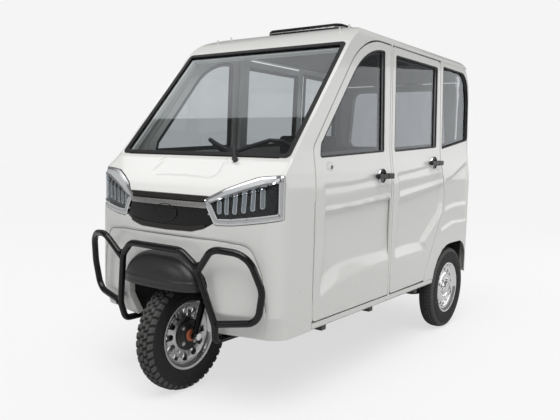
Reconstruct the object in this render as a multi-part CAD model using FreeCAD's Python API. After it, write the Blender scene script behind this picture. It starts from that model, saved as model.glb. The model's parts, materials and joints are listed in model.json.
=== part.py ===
import FreeCAD, Part
import math
import os

# Closed-cabin auto rickshaw. Millimetres, +Z up, the front faces -Y, +X is the vehicle's left.
# The model is drawn with y counted back from the front axle, and save() centres it lengthwise.

V = FreeCAD.Vector

# Main sizes
wheelbase = 1950.0
tyre_diameter = 550.0
tyre_width = 108.0
rear_track = 1074.0
nose_overhang = 140.0
rear_overhang = 330.0
body_width = 1180.0
roof_height = 1850.0
sill_height = 345.0
wall = 38.0

# Plan of the body
nose_radius = 1600.0
nose_corner_radius = 110.0
tail_corner_radius = 40.0
blend_step = 0.5
nose_turn = 42.0
nose_turn_height = 105.0

# Gaps
door_gap = 8.0
rubbing_gap = 0.3
shaft_clearance = 0.05
overrun = 60.0

# Steering and front fork
rake = 20.0
fork_offset = 30.0
fork_leg_radius = 16.0
fork_crown_height = 28.0
fork_crown_bottom = 296.0
fork_crown_margin = 4.0
stem_radius = 16.0
head_tube_radius = 27.0
head_tube_bottom = 352.0
head_tube_length = 170.0
stem_length = 955.0
axle_radius = 9.0
axle_nut_radius = 17.0
axle_nut_length = 12.0
bar_radius = 11.0
grip_radius = 16.0
bar_clamp_radius = 24.0
bar_clamp_height = 34.0

# Wheels
rim_radius = 163.0
bead_radius = 156.0
rim_width = 92.0
rim_thickness = 7.0
web_thickness = 12.0
front_hub_radius = 42.0
front_hub_length = 120.0
front_drum_radius = 76.0
front_drum_width = 30.0
slot_count = 12
slot_width = 26.0
slot_inner = 92.0
slot_outer = 134.0
rear_web_offset = 18.0
rear_hub_radius = 46.0
rear_hub_length = 62.0
stub_radius = 17.0
rear_slot_count = 8

# Front opening, liners and arches
front_opening_half = 262.0
front_opening_top = 640.0
front_opening_corner = 80.0
liner_thickness = 6.0
front_liner_radius = 345.0
liner_floor = 300.0
stem_hole_radius = 50.0
arch_front = 295.0
arch_rear = 290.0
arch_rise = 307.0
arch_front_corner = 285.0
arch_rear_corner = 130.0
rear_liner_gap = 22.0
rear_liner_rise = 325.0

# Windshield
seal_depth = 16.0
seal_proud = 4.0
seal_width = 27.0
glass_thickness = 6.0
glass_bite = 10.0

# Floor, frame and axle
floor_thickness = 6.0
rear_floor_height = 440.0
rear_floor_start = 1560.0
rail_width = 40.0
rail_height = 40.0
rail_half_spacing = 300.0
rail_front = 392.0
rail_kick_rise = 54.0
axle_tube_radius = 32.0
motor_radius = 92.0
motor_length = 250.0
motor_shift = 70.0
drum_radius = 88.0
drum_width = 40.0
spring_half_spacing = 400.0
spring_front_reach = 420.0
spring_rear_reach = 284.0
spring_width = 50.0
spring_thickness = 24.0
spring_rise = 78.0
spring_pad = 2.0

# Front guard tubes and mudguard
guard_tube_radius = 16.0
mudguard_thickness = 5.0

# Lamps, grille and small parts
lamp_depth = 26.0
lamp_rear_limit = 58.0
grille_depth = 12.0
bar_depth = 7.0
bar_proud = 4.0
tail_lamp_depth = 16.0
handle_length = 175.0
handle_height = 30.0
handle_depth = 18.0
handle_stand = 14.0
handle_foot = 26.0
cup_radius = 38.0
cup_depth = 5.0
wiper_x = 262.0
wiper_radius = 13.0
wiper_arm_radius = 4.0
lug_radius = 5.0

# Roof hatch
hatch_half_width = 252.0
hatch_front = 965.0
hatch_rear = 1205.0
hatch_corner = 40.0
hatch_curb = 22.0
hatch_curb_top = 1872.0
hatch_lid_thickness = 30.0
hatch_lid_gap = 5.0
hatch_overhang = 12.0

# Cabin
seat_height = 705.0
driver_half_width = 210.0
driver_front = 690.0
driver_rear = 1085.0
pad_thickness = 85.0
pad_inset = 6.0
back_top = 1290.0
bench_half_width = 452.0
bench_front = 1600.0
bench_rear = 2030.0
bench_back_top = 1240.0
box_wall = 12.0
battery_size = (520.0, 280.0, 225.0)

# Derived places
tyre_radius = tyre_diameter / 2
half_width = body_width / 2
body_length = nose_overhang + wheelbase + rear_overhang
body_height = roof_height - sill_height
tail = wheelbase + rear_overhang
overall_length = tyre_radius + tail
front_axle_y = tyre_radius - overall_length / 2

# Outlines: shares of the body's length and of its height above the sill, and each corner's radius as a share
# of the shorter run beside it
profile_shares = (
    (-0.0002, 0.0, 0.0), (-0.0002, 0.394, 0.298), (0.09174, 0.53023, 0.0), (0.3409, 1.0, 0.484),
    (0.997, 1.0, 0.172), (1.0, 0.0, 0.0))
front_door_shares = (
    (0.1624, 0.0266, 0.02), (0.47893, 0.0266, 0.02), (0.47893, 0.94352, 0.049), (0.35083, 0.94352, 1.35),
    (0.1624, 0.56545, 0.07))
front_window_shares = (
    (0.18182, 0.53355, 0.221), (0.45372, 0.55814, 0.028), (0.45207, 0.91827, 0.069),
    (0.36157, 0.91561, 1.92), (0.18678, 0.57807, 0.442))
rear_door_shares = (
    (0.49215, 0.0306, 0.033), (0.68264, 0.0306, 0.042), (0.7905, 0.30432, 1.15), (0.8, 0.37209, 1.44),
    (0.778, 0.52159, 1.0), (0.769, 0.94352, 0.04), (0.49215, 0.94352, 0.021))
rear_window_shares = (
    (0.50455, 0.5588, 0.028), (0.75289, 0.58206, 0.03), (0.75372, 0.91827, 0.039),
    (0.50579, 0.91628, 0.028))
quarter_window_shares = (
    (0.78884, 0.57608, 0.032), (0.98347, 0.62193, 0.095), (0.9843, 0.8, 0.62), (0.96694, 0.927, 0.85),
    (0.78884, 0.92957, 0.035))
tail_window_shares = (
    (-0.68, 0.585, 0.11), (0.68, 0.585, 0.11), (0.62, 0.86, 0.14), (-0.62, 0.86, 0.14))
# Pressed hollows in the sides: corners, and the width in mm of the slope along the edge after each one
front_door_dent = (
    (0.1975, 0.3728, 14.0), (0.4723, 0.3953, 22.0), (0.4723, 0.1528, 72.0), (0.3223, 0.1429, 72.0),
    (0.1893, 0.101, 30.0))
rear_door_dent = (
    (0.5231, 0.3847, 14.0), (0.7669, 0.4252, 25.0), (0.7605, 0.2957, 40.0), (0.6975, 0.1442, 60.0),
    (0.6157, 0.1561, 60.0), (0.5149, 0.1535, 25.0))
quarter_dent = (
    (0.8174, 0.3249, 12.0), (0.9566, 0.3409, 30.0), (0.9607, 0.2545, 80.0), (0.8058, 0.2339, 25.0))
door_dent_depth = 12.0
quarter_dent_depth = 8.0
# Half cross-section: shares of the half width and of the body height, and the corner's radius share
section_shares = (
    (1.0, 0.0, 0.017), (1.0, 0.4618, 3.387), (0.96271, 0.55814, 4.1), (0.9339, 0.9748, 0.288),
    (0.5763, 1.0, 5.62))
# Headlamp and grille seen from the front: shares of the half width and of the body height, and the radius share
headlamp_shares = (
    (1.01, 0.48505, 0.0), (0.9, 0.48106, 0.231), (0.7, 0.465, 0.82), (0.53, 0.434, 1.38),
    (0.44, 0.40864, 0.264), (0.44, 0.37076, 0.528), (0.503, 0.32824, 0.285), (0.78, 0.3402, 0.32),
    (1.01, 0.361, 0.0))
grille_shares = (
    (0.43, 0.41528, 0.079), (0.436, 0.365, 0.109), (0.49, 0.335, 0.163), (0.4, 0.31561, 0.75),
    (0.285, 0.30432, 0.65), (0.0, 0.30166, 0.0))
badge_shares = (0.127, 0.030)
badge_height_share = 0.3568
grille_bar_shares = ((0.4140, 0.3980), (0.3953, 0.3787))
grille_bar_width_share = 0.422


# Hinges: a pin held by a fixed lug at each end, and an eye that turns on it between them
hinge_pin_radius = 2.0
hinge_eye_radius = 3.4
hinge_lug_half = 2.6
hinge_end_gap = 0.5
door_hinge_shares = (0.10, 0.40)
tail_hinge_half = 200.0
hatch_hinge_half = 120.0

# The splits between the fixed panels
front_split_share = 0.46
rear_split_share = 0.66
tail_split_share = 0.232
tail_top_share = 0.895
tail_half_share = 0.80


def along(share):
    """Distance behind the front axle of a share of the body's length."""
    return share * body_length - nose_overhang


def up(share):
    """Height above the ground of a share of the body's height."""
    return sill_height + share * body_height


def belt():
    """Height where the nose meets the windshield's slope."""
    return up(profile_shares[2][1])


def roof_split():
    return up(front_door_shares[2][1]) + door_gap


def sill_top():
    return up(front_door_shares[0][1]) - door_gap


def unit(vector):
    return V(vector).normalize()


def corner_cut(before, corner, after, radius):
    """Start, middle and end of the arc that rounds a corner between two straight runs."""
    a = unit(before.sub(corner))
    b = unit(after.sub(corner))
    half = a.getAngle(b) / 2
    reach = radius / math.tan(half)
    centre = corner + unit(a + b) * (radius / math.sin(half))
    middle = centre + unit(corner.sub(centre)) * radius
    return corner + a * reach, middle, corner + b * reach


def rounded_edges(points, radii, closed=True):
    """Straight runs through the points, joined by tangent arcs."""
    count = len(points)
    cuts = []
    for i, radius in enumerate(radii):
        inner = closed or 0 < i < count - 1
        if radius > 0 and inner:
            cuts.append(corner_cut(points[i - 1], points[i], points[(i + 1) % count], radius))
        else:
            cuts.append((points[i], None, points[i]))
    edges = []
    last = count if closed else count - 1
    for i in range(count):
        start, middle, end = cuts[i]
        if middle is not None:
            edges.append(Part.Arc(start, middle, end).toShape())
        if i < last:
            target = cuts[(i + 1) % count][0]
            if end.distanceToPoint(target) > 1e-6:
                edges.append(Part.LineSegment(end, target).toShape())
    return edges


def rounded_wire(points, radii, closed=True):
    return Part.Wire(rounded_edges(points, radii, closed))


def corner_radii(points, radius_shares):
    """Corner radii from their shares of the shorter run beside each corner."""
    count = len(points)
    runs = [points[(i + 1) % count].distanceToPoint(points[i]) for i in range(count)]
    return [share * min(runs[i - 1], runs[i]) for i, share in enumerate(radius_shares)]


def share_wire(points, shares):
    """A closed outline whose corner radii are given as shares."""
    return rounded_wire(points, corner_radii(points, [row[-1] for row in shares]))


def side_wire(shares):
    """Outline seen from the side, in the plane x = 0."""
    return share_wire([V(0, along(a), up(b)) for a, b, _ in shares], shares)


def grown(wire, distance):
    """The outline moved outwards by a distance, or inwards where it is negative."""
    return wire.makeOffset2D(distance)


def side_prism(wire):
    """A solid through the whole width of the vehicle."""
    shape = Part.Face(wire).extrude(V(2 * body_width, 0, 0))
    shape.translate(V(-body_width, 0, 0))
    return shape


def box(x0, x1, y0, y1, z0, z1):
    return Part.makeBox(x1 - x0, y1 - y0, z1 - z0, V(x0, y0, z0))


def rod(radius, start, end):
    """A round bar between two points."""
    axis = end.sub(start)
    return Part.makeCylinder(radius, axis.Length, start, axis)


def bent_route(points, radii, runs):
    """The route with each rounded corner turned into short straight runs along its arc."""
    route = [points[0]]
    for i in range(1, len(points) - 1):
        if radii[i]:
            start, middle, end = corner_cut(points[i - 1], points[i], points[i + 1], radii[i])
            route += Part.Arc(start, middle, end).toShape().discretize(runs + 1)
        else:
            route.append(points[i])
    return route + [points[-1]]


def mitred_tube(points, radius):
    """A round tube along straight runs with mitred joints."""
    profile = Part.Wire(Part.Circle(points[0], points[1].sub(points[0]), radius).toShape())
    mitred = 1
    return Part.makePolygon(points).makePipeShell([profile], True, True, mitred)


def fuse(shapes):
    result = shapes[0]
    if len(shapes) > 1:
        result = result.fuse(shapes[1:])
    return result.removeSplitter()


def mirrored(shape):
    return shape.mirror(V(0, 0, 0), V(1, 0, 0))


def both_sides(shape):
    return [shape, mirrored(shape)]


def left_half():
    return box(0, 2 * body_width, -body_length, 2 * body_length, -roof_height, 2 * roof_height)


def save(name, shapes):
    """Write the solids of one piece, centred lengthwise."""
    solids = [solid for shape in shapes for solid in shape.Solids]
    for solid in solids:
        if not solid.isValid():
            print("invalid solid in", name)
    piece = Part.makeCompound(solids)
    piece.translate(V(0, front_axle_y, 0))
    piece.exportStep(os.path.join("parts", name + ".step"))
    print("%-24s solids %2d  volume %9.0f cm3" % (name, len(solids), piece.Volume / 1000))


# The body's skin

def section_prism(inset):
    """The front view's outline, drawn in by the inset, through the whole length."""
    corners = list(section_shares) + [(-a, b, r) for a, b, r in reversed(section_shares)]
    wire = share_wire([V(a * half_width, 0, up(b)) for a, b, _ in corners], corners)
    if inset:
        wire = grown(wire, -inset)
    shape = Part.Face(wire).extrude(V(0, 3 * body_length, 0))
    shape.translate(V(0, -body_length, 0))
    return shape


def plan_wire(inset, height):
    """The body seen from above: a bowed nose, round front corners and a square tail."""
    bow = nose_radius - inset
    corner = nose_corner_radius - inset
    side = half_width + blend_step - inset
    bow_y = nose_radius - nose_overhang
    corner_x = half_width + blend_step - nose_corner_radius
    corner_y = bow_y - math.sqrt((nose_radius - nose_corner_radius) ** 2 - corner_x ** 2)
    toward = unit(V(corner_x, corner_y - bow_y, 0))
    joint = V(0, bow_y, 0) + toward * bow
    turn = (unit(V(1, 0, 0)) + toward).normalize()
    middle = V(corner_x, corner_y, 0) + turn * corner
    tail_corner = max(tail_corner_radius - inset, tail_corner_radius / 8)
    tail_y = tail + blend_step - inset
    tail_turn = tail_corner * (1 - math.sqrt(0.5))

    def flip(p):
        return V(-p.x, p.y, 0)

    corner_end = V(side, corner_y, 0)
    tail_start = V(side, tail_y - tail_corner, 0)
    tail_middle = V(side - tail_turn, tail_y - tail_turn, 0)
    tail_end = V(side - tail_corner, tail_y, 0)
    edges = [
        Part.Arc(flip(joint), V(0, bow_y - bow, 0), joint).toShape(),
        Part.Arc(joint, middle, corner_end).toShape(),
        Part.LineSegment(corner_end, tail_start).toShape(),
        Part.Arc(tail_start, tail_middle, tail_end).toShape(),
        Part.LineSegment(tail_end, flip(tail_end)).toShape(),
        Part.Arc(flip(tail_end), flip(tail_middle), flip(tail_start)).toShape(),
        Part.LineSegment(flip(tail_start), flip(corner_end)).toShape(),
        Part.Arc(flip(corner_end), flip(middle), flip(joint)).toShape()]
    wire = Part.Wire(edges)
    wire.translate(V(0, 0, height))
    return wire


def plan_solid(inset):
    """The plan carried upwards, with the foot of the nose turned under."""
    turn_top = sill_height + nose_turn_height
    low = sill_height - overrun
    stations = []
    for height in (low, turn_top):
        wire = plan_wire(inset, height)
        wire.translate(V(0, nose_turn * (turn_top - height) / nose_turn_height, 0))
        stations.append(wire)
    stations.append(plan_wire(inset, 2 * roof_height))
    return Part.makeLoft(stations, True, True)


def skin(inset):
    """The closed solid inside the body's outer surface, drawn in by the inset."""
    profile = side_wire(profile_shares)
    if inset:
        profile = grown(profile, -inset)
    return side_prism(profile).common(section_prism(inset)).common(plan_solid(inset))


def inner_room():
    """The room inside the body's wall, open below the sills."""
    low, high = sill_height - overrun, sill_height + 2 * wall
    side = half_width - wall
    below = plan_solid(wall).common(box(-side, side, -body_length, tail - wall, low, high))
    return skin(wall).fuse(below)


def front_opening():
    """The opening in the nose for the front wheel."""
    half, top = front_opening_half, front_opening_top
    points = [V(-half, 0, 0), V(-half, 0, top), V(half, 0, top), V(half, 0, 0)]
    wire = rounded_wire(points, [0, front_opening_corner, front_opening_corner, 0])
    shape = Part.Face(wire).extrude(V(0, body_length / 2, 0))
    shape.translate(V(0, -nose_overhang - overrun, 0))
    return shape.common(box(-half, half, -nose_overhang - overrun, rail_front, 0, roof_height))


def arch_prism():
    """The rear wheel arches, through both sides."""
    front = wheelbase - arch_front
    rear = wheelbase + arch_rear
    top = tyre_radius + arch_rise
    points = [V(0, front, 0), V(0, front, top), V(0, rear, top), V(0, rear, 0)]
    return side_prism(rounded_wire(points, [0, arch_front_corner, arch_rear_corner, 0]))


def shell():
    """The body's wall, open below."""
    return skin(0).cut(inner_room()).cut(front_opening()).cut(arch_prism())


# Windshield, lying in the slope of the side profile

def slope_ends():
    """Foot and head of the windshield's slope, in the plane x = 0."""
    foot = profile_shares[2]
    head = profile_shares[3]
    low = V(0, along(foot[0]), up(foot[1]))
    high = V(0, along(head[0]), up(head[1]))
    return low, low + (high - low) * windshield_share


windshield_share = 0.826
windshield_margin = 18.0


def half_width_at(height):
    """Half width of the body's section at a height."""
    previous = None
    for a, b, _ in section_shares:
        here = (a * half_width, up(b))
        if previous and height <= here[1]:
            ratio = (height - previous[1]) / (here[1] - previous[1])
            return previous[0] + ratio * (here[0] - previous[0])
        previous = here
    return previous[0]


def windshield_solid(inset, outer, inner):
    """A panel in the windshield's slope, between two depths under the skin."""
    low, high = slope_ends()
    slope = unit(high - low)
    normal = V(0, -slope.z, slope.y)
    start = low + slope * inset
    end = high - slope * inset
    wide_low = half_width_at(start.z) - inset - windshield_margin
    wide_high = half_width_at(end.z) - inset - windshield_margin
    points = [V(-wide_low, start.y, start.z), V(wide_low, start.y, start.z),
              V(wide_high, end.y, end.z), V(-wide_high, end.y, end.z)]
    corner = max(seal_width - inset / 2, seal_width / 3)
    face = Part.Face(rounded_wire(points, [corner] * 4))
    face.translate(normal * outer)
    return face.extrude(normal * (inner - outer))


def windshield_seal():
    ring = windshield_solid(seal_proud, seal_proud, -seal_depth)
    return ring.cut(windshield_solid(seal_width, overrun, -overrun)).cut(windshield_glass())


def windshield_glass():
    middle = (seal_depth - glass_thickness) / 2
    return windshield_solid(seal_width - glass_bite, -middle, -middle - glass_thickness)


def windshield_cut():
    """What the windshield's opening takes out of the body."""
    rebate = windshield_solid(seal_proud, overrun, -seal_depth)
    return rebate.fuse(windshield_solid(wall, overrun, -2 * overrun))


# Fixed panels

def zone(y0, y1, z0, z1):
    return box(-body_width, body_width, y0, y1, z0, z1)


def door_opening(shares):
    return side_prism(grown(side_wire(shares), door_gap))


def front_door_opening():
    return door_opening(front_door_shares)


def rear_door_opening():
    return door_opening(rear_door_shares)


def body_panels():
    """Split the body's wall into its fixed panels."""
    body = shell().cut(windshield_cut())
    body = body.cut(front_door_opening()).cut(rear_door_opening())
    waist, top, sill = belt(), roof_split(), sill_top()
    far = 2 * body_length
    front = along(front_door_shares[0][0]) - door_gap
    split_a, split_b = along(front_split_share), along(rear_split_share)
    cowl = body.common(zone(-far, front, 0, waist))
    sills = body.common(zone(front, far, 0, sill)).common(zone(-far, wheelbase, 0, sill))
    upper_front = body.common(zone(-far, split_a, waist, top))
    middle = (waist + top) / 2
    header = upper_front.common(box(-head_half(), head_half(), -far, far, middle, roof_height))
    lower_rim = upper_front.common(box(-head_half(), head_half(), -far, far, 0, middle))
    cowl = cowl.fuse(lower_rim).removeSplitter()
    a_pillars = upper_front.cut(box(-head_half(), head_half(), -far, far, 0, roof_height))
    b_pillars = body.common(zone(split_a, split_b, sill, top))
    rear = body.common(zone(split_b, far, sill, top)).fuse(body.common(zone(wheelbase, far, 0, sill)))
    roof = body.common(zone(-far, far, top, far))
    return cowl, sills, header, a_pillars, b_pillars, rear.removeSplitter(), roof


def head_half():
    """Half width of the header over the windshield, between the pillars."""
    return half_width_at(roof_split()) - wall - windshield_margin


def tail_half():
    return tail_half_share * half_width


def tail_zone(half, z0, z1):
    return box(-half, half, tail - 4 * wall, tail + overrun, z0, z1)


def tail_gate_wire(shares):
    return share_wire([V(a * half_width, tail, up(b)) for a, b, _ in shares], shares)


def tail_window(grow):
    face = Part.Face(grown(tail_gate_wire(tail_window_shares), grow) if grow else
                     tail_gate_wire(tail_window_shares))
    face.translate(V(0, overrun, 0))
    return face.extrude(V(0, -6 * wall, 0))


def tail_gate():
    """The tailgate and its pane."""
    half = tail_half() - door_gap
    gate = shell().common(tail_zone(half, up(tail_split_share) + door_gap, up(tail_top_share) - door_gap))
    pane = pane_layer().common(tail_window(glass_bite))
    return gate.cut(tail_window(0)).cut(pane), pane


def pane_layer():
    """A thin layer in the middle of the body's wall, for the panes."""
    outer = (wall - glass_thickness) / 2
    return skin(outer).cut(skin(outer + glass_thickness))


def side_layer(outer, inner):
    """The left side wall between two depths, without nose and tail."""
    side = half_width - inner
    below = box(-side, side, -body_length, 2 * body_length, 0, sill_height + 2 * inner)
    return section_prism(outer).cut(section_prism(inner)).cut(below).common(left_half())


def moved_corners(points, insets):
    """Corners seen from the left side after each edge has moved inwards by its own distance."""
    moved = []
    for i, corner in enumerate(points):
        before = unit(corner.sub(points[i - 1]))
        after = unit(points[(i + 1) % len(points)].sub(corner))
        across = after.dot(before.cross(V(1, 0, 0)))
        moved.append(corner + (after * insets[i - 1] - before * insets[i]) * (1 / across))
    return moved


def dent(shares, depth):
    """A pressed hollow in the flat of the left side: corners, and how wide the slope at each edge is."""
    corners = [V(half_width, along(a), up(b)) for a, b, _ in shares]
    rings = []
    for share in (-dent_overlap_share, 1.0):
        ring = moved_corners(corners, [share * row[2] for row in shares])
        rings.append([point - V(share * depth, 0, 0) for point in ring])
    return Part.makeLoft([Part.makePolygon(ring + [ring[0]]) for ring in rings], True, True)


dent_overlap_share = 0.1


def side_door(shares, window):
    """One left door: its panel with the window cut, and its pane."""
    outline = side_prism(side_wire(shares))
    opening = side_wire(window)
    panel = side_layer(0, wall).common(outline)
    middle = (wall - glass_thickness) / 2
    pane = side_layer(middle, middle + glass_thickness).common(side_prism(grown(opening, glass_bite)))
    return panel.cut(side_prism(opening)).cut(pane), pane


def door_handle(rear_edge, height):
    """A bar handle standing off the door, with a round cup behind it."""
    x = half_width_at(height)
    rear = rear_edge - handle_foot
    front = rear - handle_length
    low, high = height - handle_height / 2, height + handle_height / 2
    bar = box(x + handle_stand, x + handle_stand + handle_depth, front, rear, low, high)
    face = x + handle_stand + handle_depth / 2
    outer = [e for e in bar.Edges if e.BoundBox.YLength > handle_height and e.BoundBox.XMin > face]
    bar = bar.makeFillet(handle_height / 5, outer)
    inset = handle_height / 5
    foot_end = x + handle_stand + handle_depth / 2
    feet = [box(x - handle_stand, foot_end, y, y + handle_foot, low + inset, high - inset)
            for y in (front + handle_foot / 2, rear - 1.5 * handle_foot)]
    middle = (front + rear) / 2
    cup = rod(cup_radius, V(x - handle_stand, middle, height), V(x + cup_depth, middle, height))
    return fuse([bar, cup] + feet)


# Hinges

def brick(corner, first, second, third):
    """A block from one corner and its three edges."""
    outline = [corner, corner + first, corner + first + second, corner + second, corner]
    return Part.Face(Part.makePolygon(outline)).extrude(third)


def pin_hinge(centre, axis, toward_fixed, outward, half):
    """A long hinge in a gap, its axis on the skin: the fixed lugs with their pin, and the turning eye."""
    radius = hinge_eye_radius
    lug = hinge_lug_half
    reach = toward_fixed * (door_gap / 2 + lug)
    square = outward * (2 * lug)
    inner = centre - toward_fixed * lug - outward * lug
    lugs = [brick(inner + axis * start, reach, square, axis * (2 * half / 3)) for start in (-half, half / 3)]
    fixed = fuse(lugs + [rod(hinge_pin_radius, centre - axis * half, centre + axis * half)])
    eye_half = half / 3 - hinge_end_gap
    eye = rod(radius, centre - axis * eye_half, centre + axis * eye_half)
    web = brick(centre - outward * radius - axis * eye_half, toward_fixed * (-door_gap / 2), outward * radius,
                axis * (2 * eye_half))
    return fixed, fuse([eye, web]).cut(hinge_bore(centre, axis))


def hinge_bore(centre, axis):
    reach = axis * body_width
    return rod(hinge_pin_radius + shaft_clearance, centre - reach, centre + reach)


def door_hinge(outline):
    """The hinge at a left door's front edge."""
    low, high = (up(share) for share in door_hinge_shares)
    centre = V(half_width, along(outline[0][0]) - door_gap / 2, (low + high) / 2)
    return pin_hinge(centre, V(0, 0, 1), V(0, -1, 0), V(1, 0, 0), (high - low) / 2)


def tail_hinge():
    """The hinge over the tailgate."""
    z = up(tail_top_share) - door_gap / 2
    return pin_hinge(V(0, tail_skin_y(z), z), V(1, 0, 0), V(0, 0, 1), V(0, 1, 0), tail_hinge_half)


def tail_skin_y(height):
    """Where the tail's skin lies at a height, in the middle of the vehicle."""
    probe = Part.LineSegment(V(0, tail - 8 * wall, height), V(0, tail + overrun, height)).toShape()
    return probe.common(skin(0)).BoundBox.YMax


def hatch_hinge():
    """The hinge behind the roof hatch, under the lid's rear edge."""
    radius = hinge_eye_radius
    centre = V(0, hatch_rear + hatch_overhang + radius, hatch_curb_top - radius)
    half = hatch_hinge_half
    axis = V(1, 0, 0)
    back = V(0, hatch_rear - centre.y - radius, 0)
    lugs = [brick(centre + V(start, radius, -radius), back, V(0, 0, 2 * radius), axis * (2 * half / 3))
            for start in (-half, half / 3)]
    fixed = fuse(lugs + [rod(hinge_pin_radius, centre - axis * half, centre + axis * half)])
    eye_half = half / 3 - hinge_end_gap
    eye = rod(radius, centre - axis * eye_half, centre + axis * eye_half)
    rise = V(0, 0, radius + hatch_lid_gap)
    web = brick(centre + V(-eye_half, 0, 0), V(0, -2 * radius, 0), rise, axis * (2 * eye_half))
    return fixed, fuse([eye, web]).cut(hinge_bore(centre, axis))


def b_post():
    """The inner post behind the door edges."""
    front = along(front_door_shares[1][0]) + door_gap
    rear = along(rear_door_shares[0][0]) - door_gap
    layer = side_layer(wall + door_gap, wall + door_gap + post_depth)
    low = sill_height + floor_thickness
    post = layer.common(box(0, body_width, front - post_depth, rear + post_depth, low, roof_split()))
    web = side_layer(0, wall + door_gap).common(box(0, body_width, front, rear, sill_top(), roof_split()))
    return post.fuse(web).removeSplitter()


post_depth = 26.0


def quarter_panes():
    layer = side_layer((wall - glass_thickness) / 2, (wall + glass_thickness) / 2)
    return layer.common(side_prism(grown(side_wire(quarter_window_shares), glass_bite)))


def make_body():
    cowl, sills, header, a_pillars, b_pillars, rear, roof = body_panels()
    lamps = headlamp()
    grille, bars, recess = grille_pieces()
    cowl = cowl.cut(both_sides(lamps) + [recess])
    save("front_cowl", [cowl])
    save("headlamps", both_sides(lamps))
    save("grille_panel", [grille])
    save("grille_bars", [bars])
    save("sills", [sills])
    save("a_pillars", [a_pillars])
    save("b_pillars", both_sides(b_post()))

    half = tail_half()
    quarter = rear.cut(tail_zone(half, 0, roof_height)).common(left_half())
    pane = quarter_panes()
    quarter = quarter.cut(side_prism(side_wire(quarter_window_shares))).cut(pane)
    lamp = tail_lamp()
    quarter = quarter.cut([lamp, dent(quarter_dent, quarter_dent_depth)])
    save("quarter_panel_left", [quarter])
    save("quarter_panel_right", [mirrored(quarter)])
    save("tail_lamps", both_sides(lamp))
    save("rear_panel", [rear.common(tail_zone(half, 0, up(tail_split_share)))])
    head = rear.common(tail_zone(half, up(tail_top_share), roof_height))
    curb_hole = hatch_prism(hatch_curb, 0, roof_height + overrun)
    roof = roof.fuse([header, head]).removeSplitter().cut(curb_hole)
    save("roof_panel", [roof] + roof_lugs(roof))
    save("fixed_glass", [windshield_glass()] + both_sides(pane))
    save("windshield_seal", [windshield_seal()])

    gate, gate_pane = tail_gate()
    _, turning = tail_hinge()
    save("tailgate", [fuse([gate, turning])])
    save("tailgate_glass", [gate_pane])


def roof_lugs(roof):
    """Four small eyes on the front corners of the roof."""
    lugs = []
    for y_share, x_share, z_share in lug_shares:
        base = V(x_share * half_width, along(y_share), up(z_share))
        lug = rod(lug_radius, base, base + V(0, 0, lug_height))
        lugs += both_sides(lug.cut(roof))
    return lugs


lug_shares = ((0.343, 0.712, 0.957), (0.3884, 0.698, 0.98))
lug_height = 36.0


# Lamps and grille

def front_prism(shares):
    """A solid that cuts the nose along its length, from an outline seen from the front."""
    wire = share_wire([V(a * half_width, -nose_overhang - overrun, up(b)) for a, b, _ in shares], shares)
    return Part.Face(wire).extrude(V(0, lamp_rear_limit + nose_overhang + overrun, 0))


def headlamp():
    return skin(0).cut(skin(lamp_depth)).common(front_prism(headlamp_shares))


def grille_pieces():
    """The dark panel with its oval badge, the two bright bars, and their recess in the nose."""
    prism = front_prism(grille_shares + tuple((-a, b, r) for a, b, r in reversed(grille_shares[:-1])))
    whole = skin(0)
    recess = whole.cut(skin(bar_proud + grille_depth)).common(prism)
    panel = recess.common(skin(bar_proud))
    centre = V(0, -nose_overhang - overrun, up(badge_height_share))
    oval = Part.Ellipse(centre + V(badge_shares[0] * half_width, 0, 0),
                        centre + V(0, 0, badge_shares[1] * body_height), centre)
    badge = Part.Face(Part.Wire(oval.toShape())).extrude(V(0, nose_overhang + overrun, 0)).common(recess)
    width = grille_bar_width_share * half_width
    layer = whole.cut(skin(bar_depth))
    strips = [box(-width, width, -2 * nose_overhang, 0, up(low), up(high)) for high, low in grille_bar_shares]
    bars = layer.common(strips[0].fuse(strips[1:])).cut(badge)
    return panel.fuse(badge).cut(bars).removeSplitter(), bars, recess


def tail_lamp():
    low, high = up(tail_lamp_shares[2]), up(tail_lamp_shares[3])
    x0, x1 = tail_lamp_shares[0] * half_width, tail_lamp_shares[1] * half_width
    return box(x0, x1, tail - tail_lamp_depth, tail, low, high)


tail_lamp_shares = (0.825, 0.915, 0.30, 0.46)


# Roof hatch

def hatch_prism(inset, z0, z1):
    half = hatch_half_width - inset
    y0, y1 = hatch_front + inset, hatch_rear - inset
    points = [V(-half, y0, z0), V(half, y0, z0), V(half, y1, z0), V(-half, y1, z0)]
    corner = max(hatch_corner - inset, hatch_corner / 4)
    return Part.Face(rounded_wire(points, [corner] * 4)).extrude(V(0, 0, z1 - z0))


def make_hatch():
    depth = roof_height - 2 * wall
    frame = hatch_prism(0, depth, hatch_curb_top).cut(hatch_prism(hatch_curb, 0, 2 * roof_height))
    inner = hatch_prism(hatch_curb, roof_height - wall, hatch_curb_top)
    frame = frame.cut(skin(0)).fuse(inner.cut(hatch_prism(hatch_curb + rim_thickness, 0, 2 * roof_height)))
    fixed, turning = hatch_hinge()
    save("roof_hatch_frame", [fuse([frame, fixed]).cut(skin(0))])
    low = hatch_curb_top + hatch_lid_gap
    lid = hatch_prism(-hatch_overhang, low, low + hatch_lid_thickness)
    top = [e for e in lid.Edges if e.BoundBox.ZMin > low + hatch_lid_thickness / 2]
    lid = lid.makeChamfer(hatch_lid_thickness / 3, top)
    save("hatch_lid", [fuse([lid, turning])])


# Doors

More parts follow.
